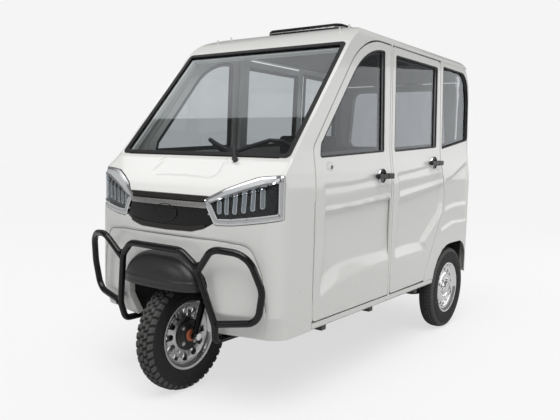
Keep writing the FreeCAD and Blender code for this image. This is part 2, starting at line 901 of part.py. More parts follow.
def make_doors():
    rows = (("front", front_door_shares, front_window_shares, front_door_dent, front_handle_share, 1),
            ("rear", rear_door_shares, rear_window_shares, rear_door_dent, rear_handle_share, 4))
    fixed_hinges = []
    for name, outline, window, hollow, handle_share, rear_corner in rows:
        panel, pane = side_door(outline, window)
        panel = panel.cut(dent(hollow, door_dent_depth))
        fixed, turning = door_hinge(outline)
        panel = fuse([panel, turning])
        fixed_hinges += both_sides(fixed)
        handle = door_handle(along(outline[rear_corner][0]), up(handle_share)).cut(panel)
        for side, pick in (("left", lambda s: s), ("right", mirrored)):
            save("door_%s_%s" % (name, side), [pick(panel)])
            save("door_%s_%s_glass" % (name, side), [pick(pane)])
            save("door_%s_%s_handle" % (name, side), [pick(handle)])
    fixed, _ = tail_hinge()
    save("hinges", fixed_hinges + [fixed])


front_handle_share = 0.4718
rear_handle_share = 0.5163


# Steering: fork, stem and handlebar, drawn upright and then raked

def raked(shape):
    """Turn a piece drawn about an upright steering axis to its real rake."""
    shape.translate(V(0, fork_offset, 0))
    shape.rotate(V(0, 0, 0), V(1, 0, 0), -rake)
    shape.translate(V(0, 0, tyre_radius))
    return shape


def fork_spread():
    return front_hub_length / 2 + fork_leg_radius


def make_fork():
    spread = fork_spread()
    crown_top = fork_crown_bottom + fork_crown_height
    leg_top = crown_top - fork_crown_margin
    legs = [rod(fork_leg_radius, V(x, -fork_offset, -fork_leg_radius), V(x, -fork_offset, leg_top))
            for x in (-spread, spread)]
    crown_half = spread + fork_leg_radius + fork_crown_margin
    crown = box(-crown_half, crown_half, -fork_offset - fork_leg_radius - fork_crown_margin,
                stem_radius + fork_crown_margin, fork_crown_bottom, crown_top)
    stem = rod(stem_radius, V(0, 0, fork_crown_bottom), V(0, 0, stem_length))
    reach = spread + fork_leg_radius + axle_nut_length
    axle = rod(axle_radius, V(-reach, -fork_offset, 0), V(reach, -fork_offset, 0))
    nuts = [rod(axle_nut_radius, V(s * reach, -fork_offset, 0), V(s * spread, -fork_offset, 0))
            for s in (-1, 1)]
    save("fork", [raked(fuse(legs + [crown, stem, axle] + nuts))])


def make_handlebar():
    half = [V(0, 0, stem_length)] + [V(*point) for point in bar_points]
    points = [V(-p.x, p.y, p.z) for p in reversed(half[1:])] + half
    bends = [0, bar_bend_radius, bar_bend_radius, 0, bar_bend_radius, bar_bend_radius, 0]
    bar = mitred_tube(bent_route(points, bends, 1), bar_radius)
    clamp = rod(bar_clamp_radius, V(0, 0, stem_length), V(0, 0, stem_length + bar_clamp_height))
    clamp.translate(V(0, 0, -bar_clamp_height / 2))
    grips = []
    for sign in (-1, 1):
        end = V(sign * half[3].x, half[3].y, half[3].z)
        knee = V(sign * half[2].x, half[2].y, half[2].z)
        grips.append(rod(grip_radius, knee + (end - knee) * grip_start_share, end))
    stem = rod(stem_radius, V(0, 0, 0), V(0, 0, stem_length))
    save("handlebar", [raked(fuse([bar, clamp] + grips).cut(stem))])


bar_points = ((120.0, 1.0, 996.0), (240.0, 25.0, 1047.0), (275.0, 229.0, 1041.0))
bar_bend_radius = 55.0
grip_start_share = 0.42


# Wheels, drawn about the X axis at the origin

def revolved(points):
    """A solid of revolution about the X axis; the points are (x, radius)."""
    corners = [V(x, 0, r) for x, r in points]
    return Part.Face(Part.makePolygon(corners + corners[:1])).revolve(V(0, 0, 0), V(1, 0, 0), 360)


def tyre():
    """The tyre's section: bead, sidewall, shoulder and crown on each side of the tread."""
    side = [(seat_share * rim_width, bead_radius), (seat_share * rim_width, rim_radius)]
    side += [(a * tyre_width, rim_radius + b * (tyre_radius - rim_radius)) for a, b in tyre_shares]
    return revolved([(-x, r) for x, r in side] + list(reversed(side)))


# Shares of the tyre's width and of its height over the rim
tyre_shares = ((0.50, 0.50), (0.44, 0.92), (0.30, 1.0))
seat_share = 0.5


def barrel_side(side):
    """The rim's outer face from the tyre seat down into the barrel, towards one side."""
    edge = side * rim_width / 2
    return [(edge, bead_radius), (edge, bead_radius - rim_thickness)]


def around(shape, count):
    """Copies of a piece spaced round the X axis."""
    copies = []
    for i in range(count):
        piece = shape.copy()
        piece.rotate(V(0, 0, 0), V(1, 0, 0), i * 360.0 / count)
        copies.append(piece)
    return copies


def front_rim():
    """A dropped barrel with a slotted web, a drum and a hub, alike on both sides."""
    hub_end = front_hub_length / 2 - rubbing_gap
    bore = axle_radius + shaft_clearance
    inner = bead_radius - rim_thickness
    side = barrel_side(1) + [
        (web_thickness / 2, inner), (web_thickness / 2, front_drum_radius), (front_drum_width, front_drum_radius),
        (front_drum_width, front_hub_radius), (hub_end, front_hub_radius), (hub_end, bore)]
    wheel = revolved(side + [(-x, r) for x, r in reversed(side)])
    slot = box(-web_thickness, web_thickness, -slot_width / 2, slot_width / 2, slot_inner, slot_outer)
    return wheel.cut(around(slot, slot_count))


def rear_rim():
    """The left rear wheel, with its slotted face set towards the outside and a blind hub."""
    face = rear_web_offset
    front, back = face + web_thickness / 2, face - web_thickness / 2
    hub_front, hub_back = face + rear_hub_length / 2, face - rear_hub_length / 2
    bore_end = hub_front - web_thickness
    bore = stub_radius + shaft_clearance
    inner = bead_radius - rim_thickness
    outline = barrel_side(1) + [
        (front, inner), (front, rear_hub_radius), (hub_front, rear_hub_radius), (hub_front, 0), (bore_end, 0),
        (bore_end, bore), (hub_back, bore), (hub_back, rear_hub_radius), (back, rear_hub_radius), (back, inner)]
    wheel = revolved(outline + list(reversed(barrel_side(-1))))
    slot = box(0, body_width, -slot_width / 2, slot_width / 2, slot_inner, slot_outer)
    return wheel.cut(around(slot, rear_slot_count))


def make_wheels():
    for name, shape in (("front_tyre", tyre()), ("front_rim", front_rim())):
        shape.translate(V(0, 0, tyre_radius))
        save(name, [shape])
    for name, shape in (("rear_tyre", tyre()), ("rear_rim", rear_rim())):
        shape.translate(V(rear_track / 2, wheelbase, tyre_radius))
        save(name + "_left", [shape])
        save(name + "_right", [mirrored(shape)])


# Frame, axle and springs

def rail(x):
    """One side rail, kicked up over the rear axle."""
    low = sill_height - rail_height
    kick = rear_floor_start - floor_thickness
    high = low + rail_kick_rise + rail_height
    rear = tail - wall
    points = [V(0, rail_front, low), V(0, kick, low), V(0, kick + overrun, high), V(0, rear, high),
              V(0, rear, high + rail_height), V(0, kick + overrun, high + rail_height),
              V(0, kick, low + rail_height), V(0, rail_front, low + rail_height)]
    face = Part.Face(Part.makePolygon(points + points[:1]))
    face.translate(V(x - rail_width / 2, 0, 0))
    return face.extrude(V(rail_width, 0, 0))


def head_tube():
    start, end = V(0, 0, head_tube_bottom), V(0, 0, head_tube_bottom + head_tube_length)
    tube = rod(head_tube_radius, start, end)
    bore = rod(stem_radius + shaft_clearance, V(0, 0, 0), V(0, 0, stem_length))
    return raked(tube.cut(bore))


def axis_point(height):
    """A point on the steering axis, at a distance along it."""
    point = Part.Vertex(0, 0, height)
    return raked(point).Point


def make_chassis():
    low = sill_height - rail_height
    rails = [rail(x) for x in (-rail_half_spacing, rail_half_spacing)]
    cross = [box(-rail_half_spacing, rail_half_spacing, y, y + rail_width, low, low + rail_height)
             for y in (rail_front, seat_cross_y, bench_cross_y)]
    sides = [box(-half_width + wall, half_width - wall, y, y + rail_width, low, low + rail_height)
             for y in (rail_front, seat_cross_y, bench_cross_y)]
    tail_low = low + rail_kick_rise + rail_height
    tail_bar = box(-rail_half_spacing, rail_half_spacing, tail - wall - rail_width, tail - wall, tail_low,
                   tail_low + rail_height)
    bore = rod(stem_radius + shaft_clearance, V(0, 0, 0), V(0, 0, stem_length))
    hangers = []
    for y in (wheelbase - spring_front_reach, wheelbase + spring_rear_reach - hanger_width):
        base = max(spring_top(y), spring_top(y + hanger_width))
        inner = rail_half_spacing - rail_width / 2
        height = tail_low if y > rear_floor_start else low
        hangers += both_sides(box(inner, spring_half_spacing + spring_width / 2, y, y + hanger_width, base,
                                  max(height, base + hanger_width / 4) + rail_height / 4))
    frame = fuse(rails + cross + sides + [tail_bar, head_tube()] + struts() + hangers)
    save("chassis_frame", [frame.cut([raked(bore), shell()])])


seat_cross_y = 880.0
bench_cross_y = 1470.0
strut_share = 0.7
strut_spread = 110.0
strut_radius = 15.0
hanger_width = 40.0


def spring_radius():
    return (spring_front_reach ** 2 + spring_rise ** 2) / (2 * spring_rise)


def spring_top(y):
    """Upper face of the spring at a distance behind the front axle."""
    radius = spring_radius()
    top = radius - spring_thickness
    base = tyre_radius - axle_tube_radius - spring_thickness - spring_pad
    return base + radius - math.sqrt(top ** 2 - (y - wheelbase) ** 2)


def make_springs():
    radius = spring_radius()
    base = tyre_radius - axle_tube_radius - spring_thickness - spring_pad
    centre = V(0, wheelbase, base + radius)
    ring = Part.makeCylinder(radius, spring_width, centre, V(1, 0, 0))
    ring = ring.cut(Part.makeCylinder(radius - spring_thickness, spring_width, centre, V(1, 0, 0)))
    span = box(0, spring_width, wheelbase - spring_front_reach, wheelbase + spring_rear_reach, 0,
               base + spring_rise + spring_thickness)
    spring = ring.common(span)
    clamp = box(0, spring_width, wheelbase - axle_tube_radius, wheelbase + axle_tube_radius,
                base + spring_thickness / 2, tyre_radius - axle_tube_radius / 2)
    tube = rod(axle_tube_radius, V(-body_width, wheelbase, tyre_radius), V(body_width, wheelbase, tyre_radius))
    spring = fuse([spring, clamp.cut(tube)])
    spring.translate(V(spring_half_spacing - spring_width / 2, 0, 0))
    save("leaf_springs", both_sides(spring))


def make_rear_axle():
    inner = rear_track / 2 - tyre_width / 2
    reach = rear_track / 2 + rear_web_offset + rear_hub_length / 2 - 2 * web_thickness
    hub_face = rear_track / 2 + rear_web_offset - rear_hub_length / 2 - rubbing_gap
    centre = tyre_radius
    tube = rod(axle_tube_radius, V(-hub_face, wheelbase, centre), V(hub_face, wheelbase, centre))
    stubs = rod(stub_radius, V(-reach, wheelbase, centre), V(reach, wheelbase, centre))
    motor = rod(motor_radius, V(motor_shift - motor_length / 2, wheelbase, centre),
                V(motor_shift + motor_length / 2, wheelbase, centre))
    drums = [rod(drum_radius, V(s * (hub_face - drum_width), wheelbase, centre),
                 V(s * (hub_face - rubbing_gap), wheelbase, centre)) for s in (-1, 1)]
    save("rear_axle", [fuse([tube, stubs, motor] + drums)])


def struts():
    """Two braces from the head tube down to the front cross member."""
    top = axis_point(head_tube_bottom + head_tube_length * strut_share)
    low = sill_height - rail_height
    return [rod(strut_radius, top, V(s * strut_spread, rail_front + rail_width / 2, low + rail_height / 2))
            for s in (-1, 1)]


def front_well():
    """The drum-shaped outside of the front wheel's well."""
    half = front_opening_half + liner_thickness
    radius = front_liner_radius + liner_thickness
    drum = Part.makeCylinder(radius, 2 * half, V(-half, 0, tyre_radius), V(1, 0, 0))
    nose = box(-half, half, -nose_overhang, 0, 0, tyre_radius + radius)
    return drum.fuse([box(-half, half, 0, radius, liner_floor, tyre_radius + overrun), nose])


def make_floor():
    half = half_width - wall
    front = box(-half, half, -nose_overhang, rear_floor_start, sill_height, sill_height + floor_thickness)
    front = front.common(inner_room()).cut(front_well())
    riser = box(-half, half, rear_floor_start - floor_thickness, rear_floor_start, sill_height,
                rear_floor_height + floor_thickness)
    inner = liner_inner() - liner_thickness
    rear = box(-inner, inner, rear_floor_start, tail - wall, rear_floor_height,
               rear_floor_height + floor_thickness)
    side = box(-half, half, rear_floor_start, liner_front(), rear_floor_height,
               rear_floor_height + floor_thickness)
    floor = fuse([front, riser, rear, side])
    rails = [rail(x) for x in (-rail_half_spacing, rail_half_spacing)]
    save("floor_pan", [floor.cut(rails + struts() + [shell()])])


def liner_inner():
    """Half width between the rear wheel liners' inner faces."""
    return rear_track / 2 - tyre_width / 2 - rear_liner_gap


def liner_front():
    return wheelbase - arch_front


def make_liners():
    """Drum-shaped well over the front wheel and boxes over the rear wheels."""
    half = front_opening_half
    front = front_well().common(inner_room()).common(
        box(-half_width, half_width, -nose_overhang, body_length, liner_floor, roof_height))
    hollow = Part.makeCylinder(front_liner_radius, 2 * half, V(-half, 0, tyre_radius), V(1, 0, 0))
    hollow_back = box(-half, half, 0, front_liner_radius, 0, tyre_radius + overrun)
    hollow_nose = box(-half, half, -body_length, 0, 0, tyre_radius + front_liner_radius)
    front = front.cut([hollow, hollow_back, hollow_nose])
    stem = raked(rod(stem_hole_radius, V(0, 0, fork_crown_bottom), V(0, 0, stem_length)))
    front = front.cut(stem)

    inner = liner_inner()
    top = tyre_radius + rear_liner_rise
    rear_end = tail - wall
    block = box(inner - liner_thickness, half_width - wall, liner_front(), rear_end, rear_floor_height - overrun, top)
    pocket = box(inner, half_width, liner_front() + liner_thickness, rear_end - liner_thickness, 0,
                 top - liner_thickness)
    rear = block.cut([pocket, shell()])
    save("wheel_liners", [front] + both_sides(rear))


# Guard and mudguard

def guard_point(name, side=1):
    x, y, z = guard_points[name]
    return V(side * x, y, z)


guard_points = {
    "foot": (300.0, 60.0, 318.0), "bottom": (304.0, -104.0, 318.0), "low": (316.0, -124.0, 398.0),
    "high": (242.0, -172.0, 661.0), "top": (166.0, -190.0, 726.0), "crest": (352.0, -192.0, 752.0),
    "shoulder": (508.0, -138.0, 738.0), "side": (554.0, -92.0, 580.0), "heel": (526.0, -82.0, 436.0)}
guard_bend = 60.0
guard_large_bend = 95.0
guard_small_bend = 30.0


def make_guard():
    names = ("foot", "bottom", "low", "high", "top")
    half = [guard_point(n) for n in names]
    points = half + [V(-p.x, p.y, p.z) for p in reversed(half)]
    bends = [0, guard_small_bend, 0, 0, guard_bend]
    frame = mitred_tube(bent_route(points, bends + bends[::-1], 1), guard_tube_radius)
    loop = [guard_point(n) for n in ("high", "crest", "shoulder", "side", "heel", "low")]
    loop_bends = [0, guard_bend, guard_large_bend, guard_large_bend, guard_bend, 0]
    side = mitred_tube(bent_route(loop, loop_bends, 2), guard_tube_radius)
    feet = []
    for s in (-1, 1):
        x, y, z = guard_points["foot"]
        feet.append(rod(guard_tube_radius, V(s * x, y, z), V(s * x, rail_front, z)))
    guard = fuse([frame, side, mirrored(side)] + feet)
    rails = [rail(x) for x in (-rail_half_spacing, rail_half_spacing)]
    save("bumper_guard", [guard.cut(rails)])


# The hood over the opening: its front view, and its side view forward of the nose
mudguard_front_view = ((0.405, 0.141), (0.395, 0.168), (0.225, 0.218), (0.145, 0.236))
mudguard_side_view = ((-30.0, 0.141), (66.0, 0.141), (76.0, 0.156), (66.0, 0.176), (16.0, 0.226), (-30.0, 0.240))


def mudguard_solid(inset):
    """A hood that leans out of the nose, drawn in by the inset."""
    half = [(a * half_width - inset, up(b) - inset) for a, b in mudguard_front_view[1:]]
    low = up(mudguard_front_view[0][1]) - overrun if inset else up(mudguard_front_view[0][1])
    half = [(mudguard_front_view[0][0] * half_width - inset, low)] + half
    outline = [V(x, 0, z) for x, z in half] + [V(-x, 0, z) for x, z in reversed(half)]
    hood = Part.Face(Part.makePolygon(outline + outline[:1])).extrude(V(0, -2 * nose_overhang, 0))
    profile = [V(0, -nose_overhang - d + inset, up(b) - inset) for d, b in mudguard_side_view]
    if inset:
        profile[0], profile[1] = (V(0, p.y, low) for p in profile[:2])
    side = Part.Face(Part.makePolygon(profile + profile[:1])).extrude(V(2 * body_width, 0, 0))
    side.translate(V(-body_width, 0, 0))
    return hood.common(side)


def make_mudguard():
    nose = side_prism(side_wire(profile_shares)).common(Part.Face(plan_wire(0, 0)).extrude(V(0, 0, roof_height)))
    hood = mudguard_solid(0).cut(mudguard_solid(mudguard_thickness))
    save("front_mudguard", [hood.cut(nose)])


# Cabin pieces

def make_cabin():
    foot, _ = slope_ends()
    top = foot.z - dash_drop
    front = foot.y + dash_front_gap
    points = [V(0, front, top), V(0, front + dash_depth, top), V(0, front + dash_depth, top - dash_lip),
              V(0, front + dash_depth * dash_knee_share, top - dash_height), V(0, front, top - dash_height)]
    face = Part.Face(rounded_wire(points, [dash_lip / 3, dash_lip / 3, dash_lip / 3, 0, 0]))
    save("dashboard", [side_prism(Part.Wire(face.Edges)).common(inner_room())])

    floor = sill_height + floor_thickness
    base = rear_floor_height + floor_thickness
    driver = box(-driver_half_width, driver_half_width, driver_front, driver_rear, floor, seat_height)
    driver = driver.cut(box(box_wall - driver_half_width, driver_half_width - box_wall, driver_front + box_wall,
                            driver_rear - box_wall, 0, seat_height - box_wall))
    half = liner_inner() - liner_thickness
    bench = box(-half, half, bench_front, bench_rear, base, seat_height)
    bench = bench.cut(box(box_wall - half, half - box_wall, bench_front + box_wall, bench_rear - box_wall, 0,
                          seat_height - box_wall))
    save("seat_frames", [driver, bench])
    size_x, size_y, size_z = battery_size
    middle = (bench_front + bench_rear) / 2
    save("battery_box", [box(-size_x / 2, size_x / 2, middle - size_y / 2, middle + size_y / 2, base, base + size_z)])

    save("driver_seat_pads", seat_pads(driver_half_width, driver_front, driver_rear, back_top))
    save("bench_pads", seat_pads(bench_half_width, bench_front, bench_rear, bench_back_top))


dash_drop = 34.0
dash_front_gap = 24.0
dash_depth = 134.0
dash_height = 90.0
dash_lip = 40.0
dash_knee_share = 0.6


def pad(x, y0, y1, z0, z1):
    """A cushion whose long top edges are rounded."""
    solid = box(-x, x, y0, y1, z0, z1)
    top = [e for e in solid.Edges if e.BoundBox.ZMin > z1 - rubbing_gap and e.BoundBox.XLength > x]
    return solid.makeFillet(pad_corner, top)


pad_corner = 24.0


def seat_pads(half, front, rear, top):
    """A seat cushion and the backrest behind it."""
    seat = seat_height + rubbing_gap
    cushion = pad(half, front, rear - pad_thickness, seat, seat + pad_thickness)
    back = pad(half - pad_inset, rear - pad_thickness + pad_inset, rear + pad_inset, seat, top)
    return [cushion, back]


def make_wiper():
    """A short arm on a spindle at the foot of the windshield."""
    foot, head = slope_ends()
    slope = unit(head - foot)
    normal = V(0, -slope.z, slope.y)
    base = V(wiper_x, foot.y, foot.z) - slope * wiper_drop
    boss = rod(wiper_radius, base - normal * wiper_radius, base + normal * wiper_boss)
    tip = base + normal * wiper_boss + V(-wiper_arm * wiper_lean_share, 0, 0) + slope * wiper_arm
    arm = rod(wiper_arm_radius, base + normal * wiper_boss, tip)
    save("wiper", [fuse([boss, arm]).cut(skin(0))])


wiper_drop = 22.0
wiper_boss = 22.0
wiper_arm = 70.0
wiper_lean_share = 0.55


def main():
    os.makedirs("parts", exist_ok=True)
    make_body()
    make_hatch()
    make_doors()
    make_fork()
    make_handlebar()
    make_wheels()
    make_chassis()
    make_springs()
    make_rear_axle()
    make_floor()
    make_liners()
    make_guard()
    make_mudguard()
    make_cabin()
    make_wiper()


main()
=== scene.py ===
import json
import math

import bmesh
import bpy
import numpy as np
from mathutils import Matrix, Vector

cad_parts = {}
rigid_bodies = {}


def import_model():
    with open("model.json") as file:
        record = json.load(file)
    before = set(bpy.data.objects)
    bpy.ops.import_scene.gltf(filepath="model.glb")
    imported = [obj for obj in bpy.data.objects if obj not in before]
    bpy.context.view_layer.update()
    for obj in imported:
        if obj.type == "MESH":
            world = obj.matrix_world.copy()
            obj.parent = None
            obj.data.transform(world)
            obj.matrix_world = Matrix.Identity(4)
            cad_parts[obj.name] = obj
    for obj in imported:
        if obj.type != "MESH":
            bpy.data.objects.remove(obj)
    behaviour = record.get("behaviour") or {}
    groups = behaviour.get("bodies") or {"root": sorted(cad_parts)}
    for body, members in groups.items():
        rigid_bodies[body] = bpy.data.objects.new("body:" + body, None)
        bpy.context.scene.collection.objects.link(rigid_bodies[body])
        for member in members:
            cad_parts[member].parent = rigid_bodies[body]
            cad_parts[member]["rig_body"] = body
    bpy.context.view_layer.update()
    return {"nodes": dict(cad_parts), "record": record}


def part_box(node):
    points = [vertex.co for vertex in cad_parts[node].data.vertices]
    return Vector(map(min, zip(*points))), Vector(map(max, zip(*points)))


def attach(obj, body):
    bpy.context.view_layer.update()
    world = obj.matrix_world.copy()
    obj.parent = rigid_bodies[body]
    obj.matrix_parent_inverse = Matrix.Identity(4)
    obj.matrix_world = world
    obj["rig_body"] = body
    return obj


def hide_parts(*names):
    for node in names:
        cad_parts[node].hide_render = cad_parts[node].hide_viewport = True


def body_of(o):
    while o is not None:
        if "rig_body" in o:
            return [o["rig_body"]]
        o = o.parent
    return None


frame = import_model()

# Metres. Pieces are drawn with y from the front axle, and meshes are shifted by axleY when made.
tyreLow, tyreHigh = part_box("front_tyre")
axleY = (tyreLow[1] + tyreHigh[1]) / 2
mm = 0.001


# Shader maths

# An output socket that takes part in sums like a number
class Socket:
    def __init__(self, graph, socket):
        self.graph = graph
        self.socket = socket

    def math(self, operation, first, second):
        return self.graph.node("ShaderNodeMath", {"operation": operation}, {0: first, 1: second})

    def __add__(self, other):
        return self.math("ADD", self, other)

    def __rsub__(self, other):
        return self.math("SUBTRACT", other, self)

    def __mul__(self, other):
        return self.math("MULTIPLY", self, other)

    def clamped(self):
        return self.graph.node("ShaderNodeClamp", {}, {0: self})

    # Goes from 0 to 1 and back between whole numbers
    def wave(self):
        return self.math("PINGPONG", self, 0.5) * 2


# One material's node tree
class Graph:
    def __init__(self, name):
        self.material = bpy.data.materials.new(name)
        self.material.use_nodes = True
        self.tree = self.material.node_tree
        self.tree.nodes.clear()
        self.coords = self.node("ShaderNodeTexCoord", {}, {}, "Object")

    def node(self, kind, settings, sockets, output=0):
        made = self.tree.nodes.new(kind)
        for key, value in settings.items():
            setattr(made, key, value)
        for key, value in sockets.items():
            if isinstance(value, Socket):
                self.tree.links.new(value.socket, made.inputs[key])
            else:
                made.inputs[key].default_value = value
        return Socket(self, made.outputs[output])

    def noise(self, scale, detail, rough=0.5, stretch=(1, 1, 1)):
        vector = self.node("ShaderNodeMapping", {}, {"Vector": self.coords, "Scale": stretch})
        sockets = {"Vector": vector, "Scale": scale, "Detail": detail, "Roughness": rough}
        return self.node("ShaderNodeTexNoise", {}, sockets)

    def axis(self, name):
        return self.node("ShaderNodeSeparateXYZ", {}, {0: self.coords}, name)

    # From the first colour to the second as the factor goes from 0 to 1
    def mix(self, factor, first, second):
        return self.node("ShaderNodeMix", {"data_type": "RGBA"}, {0: factor, 6: first, 7: second}, 2)

    def ramp(self, value, low, high, start=0.0, end=1.0):
        return self.node("ShaderNodeMapRange", {}, {0: value, 1: low, 2: high, 3: start, 4: end})

    def shader(self, kind, **sockets):
        return self.node("ShaderNode" + kind, {}, {key.replace("_", " "): value for key, value in sockets.items()})

    def blend(self, factor, first, second):
        return self.node("ShaderNodeMixShader", {}, {0: factor, 1: first, 2: second})

    def finish(self, shader):
        output = self.tree.nodes.new("ShaderNodeOutputMaterial")
        self.tree.links.new(shader.socket, output.inputs[0])
        return self.material


def rgb(red, green, blue):
    return (red, green, blue, 1.0)


finishes = {
    "paint": ((0.70, 0.70, 0.68), 0.30, 0.015, "noise", 700, 0.02, {"coat": 0.6, "dust": 0.15}),
    "framePaint": ((0.035, 0.036, 0.038), 0.45, 0.3, "noise", 160, 0.15, {"dust": 0.35}),
    "floorMat": ((0.045, 0.046, 0.048), 0.8, 0.25, "ribs", 12, 1.0, {"dust": 0.1}),
    "seal": ((0.012, 0.012, 0.013), 0.45, 0.3, "noise", 400, 0.08, {"specular": 0.35, "dust": 0.02}),
    "tube": ((0.005, 0.005, 0.0055), 0.16, 0.1, "noise", 260, 0.012, {"specular": 0.38, "dust": 0.02}),
    "darkPlastic": ((0.030, 0.031, 0.033), 0.5, 0.15, "cells", 900, 0.08, {"dust": 0.12}),
    "liner": ((0.022, 0.022, 0.023), 0.85, 0.3, "noise", 300, 0.4, {"dust": 0.35}),
    "dash": ((0.045, 0.046, 0.05), 0.55, 0.12, "cells", 700, 0.12, {}),
    "grille": ((0.050, 0.047, 0.045), 0.33, 0.12, "brushed", 60, 0.03, {"metal": 0.75}),
    "grilleBlack": ((0.006, 0.006, 0.0065), 0.26, 0.2, "noise", 500, 0.02, {"specular": 0.35}),
    "brightTrim": ((0.52, 0.51, 0.50), 0.24, 0.06, "brushed", 80, 0.02, {"metal": 0.9}),
    "chrome": ((0.86, 0.86, 0.87), 0.09, 0.03, "noise", 60, 0.01, {"metal": 1.0}),
    "silver": ((0.66, 0.66, 0.66), 0.26, 0.08, "brushed", 90, 0.03, {"metal": 0.85, "dust": 0.1}),
    "hub": ((0.012, 0.012, 0.0125), 0.38, 0.2, "noise", 220, 0.12, {"dust": 0.1}),
    "cap": ((0.62, 0.17, 0.085), 0.42, 0.2, "noise", 200, 0.08, {}),
    # The tyre's raised tread tops take a lighter colour: partly real wear, partly painted light, with the grooves
    # left dark as painted shade
    "tyre": ((0.009, 0.009, 0.0095), 0.6, 0.3, "noise", 260, 0.25,
             {"specular": 0.35, "dust": 0.05, "wornAndLit": (0.075, 0.075, 0.073)}),
    "steel": ((0.10, 0.10, 0.105), 0.45, 0.3, "brushed", 70, 0.08, {"metal": 0.7, "dust": 0.3}),
    "leather": ((0.017, 0.017, 0.018), 0.42, 0.25, "cells", 260, 0.5, {}),
    "fabric": ((0.19, 0.19, 0.20), 0.9, 0.3, "weave", 90, 0.6, {}),
    "battery": ((0.05, 0.055, 0.06), 0.5, 0.15, "cells", 500, 0.15, {}),
    "darkGloss": ((0.010, 0.010, 0.011), 0.28, 0.15, "cells", 900, 0.03, {}),
    "lens": ((0.020, 0.022, 0.026), 0.08, 0.1, "noise", 40, 0.01, {"coat": 1.0}),
    "redLens": ((0.42, 0.012, 0.010), 0.12, 0.08, "ribs", 160, 0.5, {"coat": 1.0}),
    "lampBand": ((0.42, 0.43, 0.44), 0.22, 0.06, "ribs", 260, 0.2, {"coat": 1.0}),
    "led": ((0.30, 0.31, 0.33), 0.12, 0.05, "ribs", 300, 0.4, {"coat": 1.0}),
    "mudguard": ((0.022, 0.022, 0.022), 0.34, 0.12, "cells", 600, 0.04, {"dust": 0.10}),
    # Dark grey for the line in the nose's groove: painted shade in the gap
    "grooveShade": ((0.20, 0.20, 0.19), 0.6, 0.1, "noise", 300, 0.05, {}),
    # Dark headliner: partly its own colour, partly painted shade for the cabin's top seen through the glass
    "headlinerShade": ((0.05, 0.05, 0.052), 0.95, 0.15, "weave", 220, 0.2, {})}
panes = {"glass": (0.69, 0.70, 0.71), "windshield": (0.86, 0.88, 0.88), "lampCover": (0.90, 0.92, 0.93)}
dustColour = rgb(0.30, 0.28, 0.25)


# Height of a surface's grain, from 0 to 1
def pattern(graph, kind, scale):
    if kind == "cells":
        sockets = {"Vector": graph.coords, "Scale": scale}
        return graph.node("ShaderNodeTexVoronoi", {"feature": "DISTANCE_TO_EDGE"}, sockets)
    if kind == "ribs":
        return (graph.axis("Y") * scale).wave()
    if kind == "brushed":
        return graph.noise(scale, 3, 0.6, (1, 12, 12))
    if kind == "weave":
        warp, weft = (((graph.axis(name) + graph.axis("Z")) * (scale * 6)).wave() for name in "XY")
        return warp * weft
    return graph.noise(scale, 3)


# Colour and roughness vary a little over a slow and a fast noise, and dust gathers near the ground
def finish(name):
    colour, rough, vary, grain, scale, depth, more = finishes[name]
    graph = Graph(name)
    cloud = (graph.noise(3, 5, 0.6) + graph.noise(40, 4, 0.6)) * 0.5
    dark, light = (rgb(*(np.array(colour) * share)) for share in (1 - vary, 1 + vary))
    shade = graph.mix(cloud, dark, light)
    roughness = graph.ramp(cloud, 0.3, 0.7, rough * 0.85, min(rough * 1.2, 1))
    if "dust" in more:
        low = graph.ramp(graph.axis("Z"), 0.75, 0.2)
        amount = (low * graph.ramp(cloud, 0.35, 0.7) * more["dust"]).clamped()
        shade = graph.mix(amount, shade, dustColour)
        roughness = roughness + amount * 0.4
    # Lighter colour on the marked tread tops: partly wear, partly painted light on the tops and painted shade in the
    # grooves
    if "wornAndLit" in more:
        wornAndLit = graph.node("ShaderNodeAttribute", {"attribute_name": "wornAndLit"}, {}, "Fac")
        shade = graph.mix(wornAndLit, shade, rgb(*more["wornAndLit"]))
    bump = graph.shader("Bump", Height=pattern(graph, grain, scale), Distance=depth * mm, Strength=1.0)
    return graph.finish(graph.shader(
        "BsdfPrincipled", Base_Color=shade, Roughness=roughness, Metallic=more.get("metal", 0.0), Normal=bump,
        Specular_IOR_Level=more.get("specular", 0.5), Coat_Weight=more.get("coat", 0.0), Coat_Roughness=0.06))


# A tinted pane: light passes straight through, and more of it is thrown back at a low angle
def glassFinish(name):
    graph = Graph(name)
    clear = graph.shader("BsdfTransparent", Color=rgb(*panes[name]))
    gloss = graph.shader("BsdfGlossy", Color=rgb(0.9, 0.93, 0.96), Roughness=0.02)
    fresnel = graph.shader("Fresnel", IOR=1.5)
    front = 1 - graph.node("ShaderNodeNewGeometry", {}, {}, "Backfacing")
    factor = (front * fresnel * graph.ramp(graph.noise(6, 4), 0.2, 0.8, 0.9, 1.1)).clamped()
    return graph.finish(graph.blend(factor, clear, gloss))


paints = {name: finish(name) for name in finishes}
paints.update({name: glassFinish(name) for name in panes})


# Surfaces. A sheet is a flat grid (u, v) trimmed by outlines and carried into space by a formula.

body = {
    "halfWidth": 590 * mm,
    "wall": 36 * mm,
    "sheetStep": 9 * mm,
    "sectionKnots": ((300, 590), (1003, 590), (1021.5, 588.6), (1040.3, 587.2), (1058.6, 585.2), (1077, 584.4),
                     (1148, 573.6), (1167, 571.2), (1185, 569.4), (1203, 568.1), (1222, 567), (1740, 553),
                     (1767, 551.3), (1791, 544), (1812, 530)),
    "noseOverhang": 140 * mm,
    "noseRadius": 1600 * mm,
    "noseCorner": 110 * mm,
    "noseTurn": 42 * mm,
    "noseTurnTop": 450 * mm,
    "noseTurnHeight": 105 * mm,
    "coneCentre": 241 * mm,
    "low": 345 * mm,
    "tail": 2280 * mm,
    "tailLean": 6.7 / 1505,
    "tailBend": 1591 * mm,
    "tailRadius": 259 * mm,
    "tailCorner": 40 * mm,
    "tailInner": 472 * mm,
    "profileKnots": ((300, -140), (900, -140), (930, -136), (958, -122), (1143, 82))}


# A smooth step from 0 to 1 as the distance passes through zero, over a width
def rise(distance, width):
    t = np.clip(distance / width + 0.5, 0, 1)
    return t * t * (3 - 2 * t)


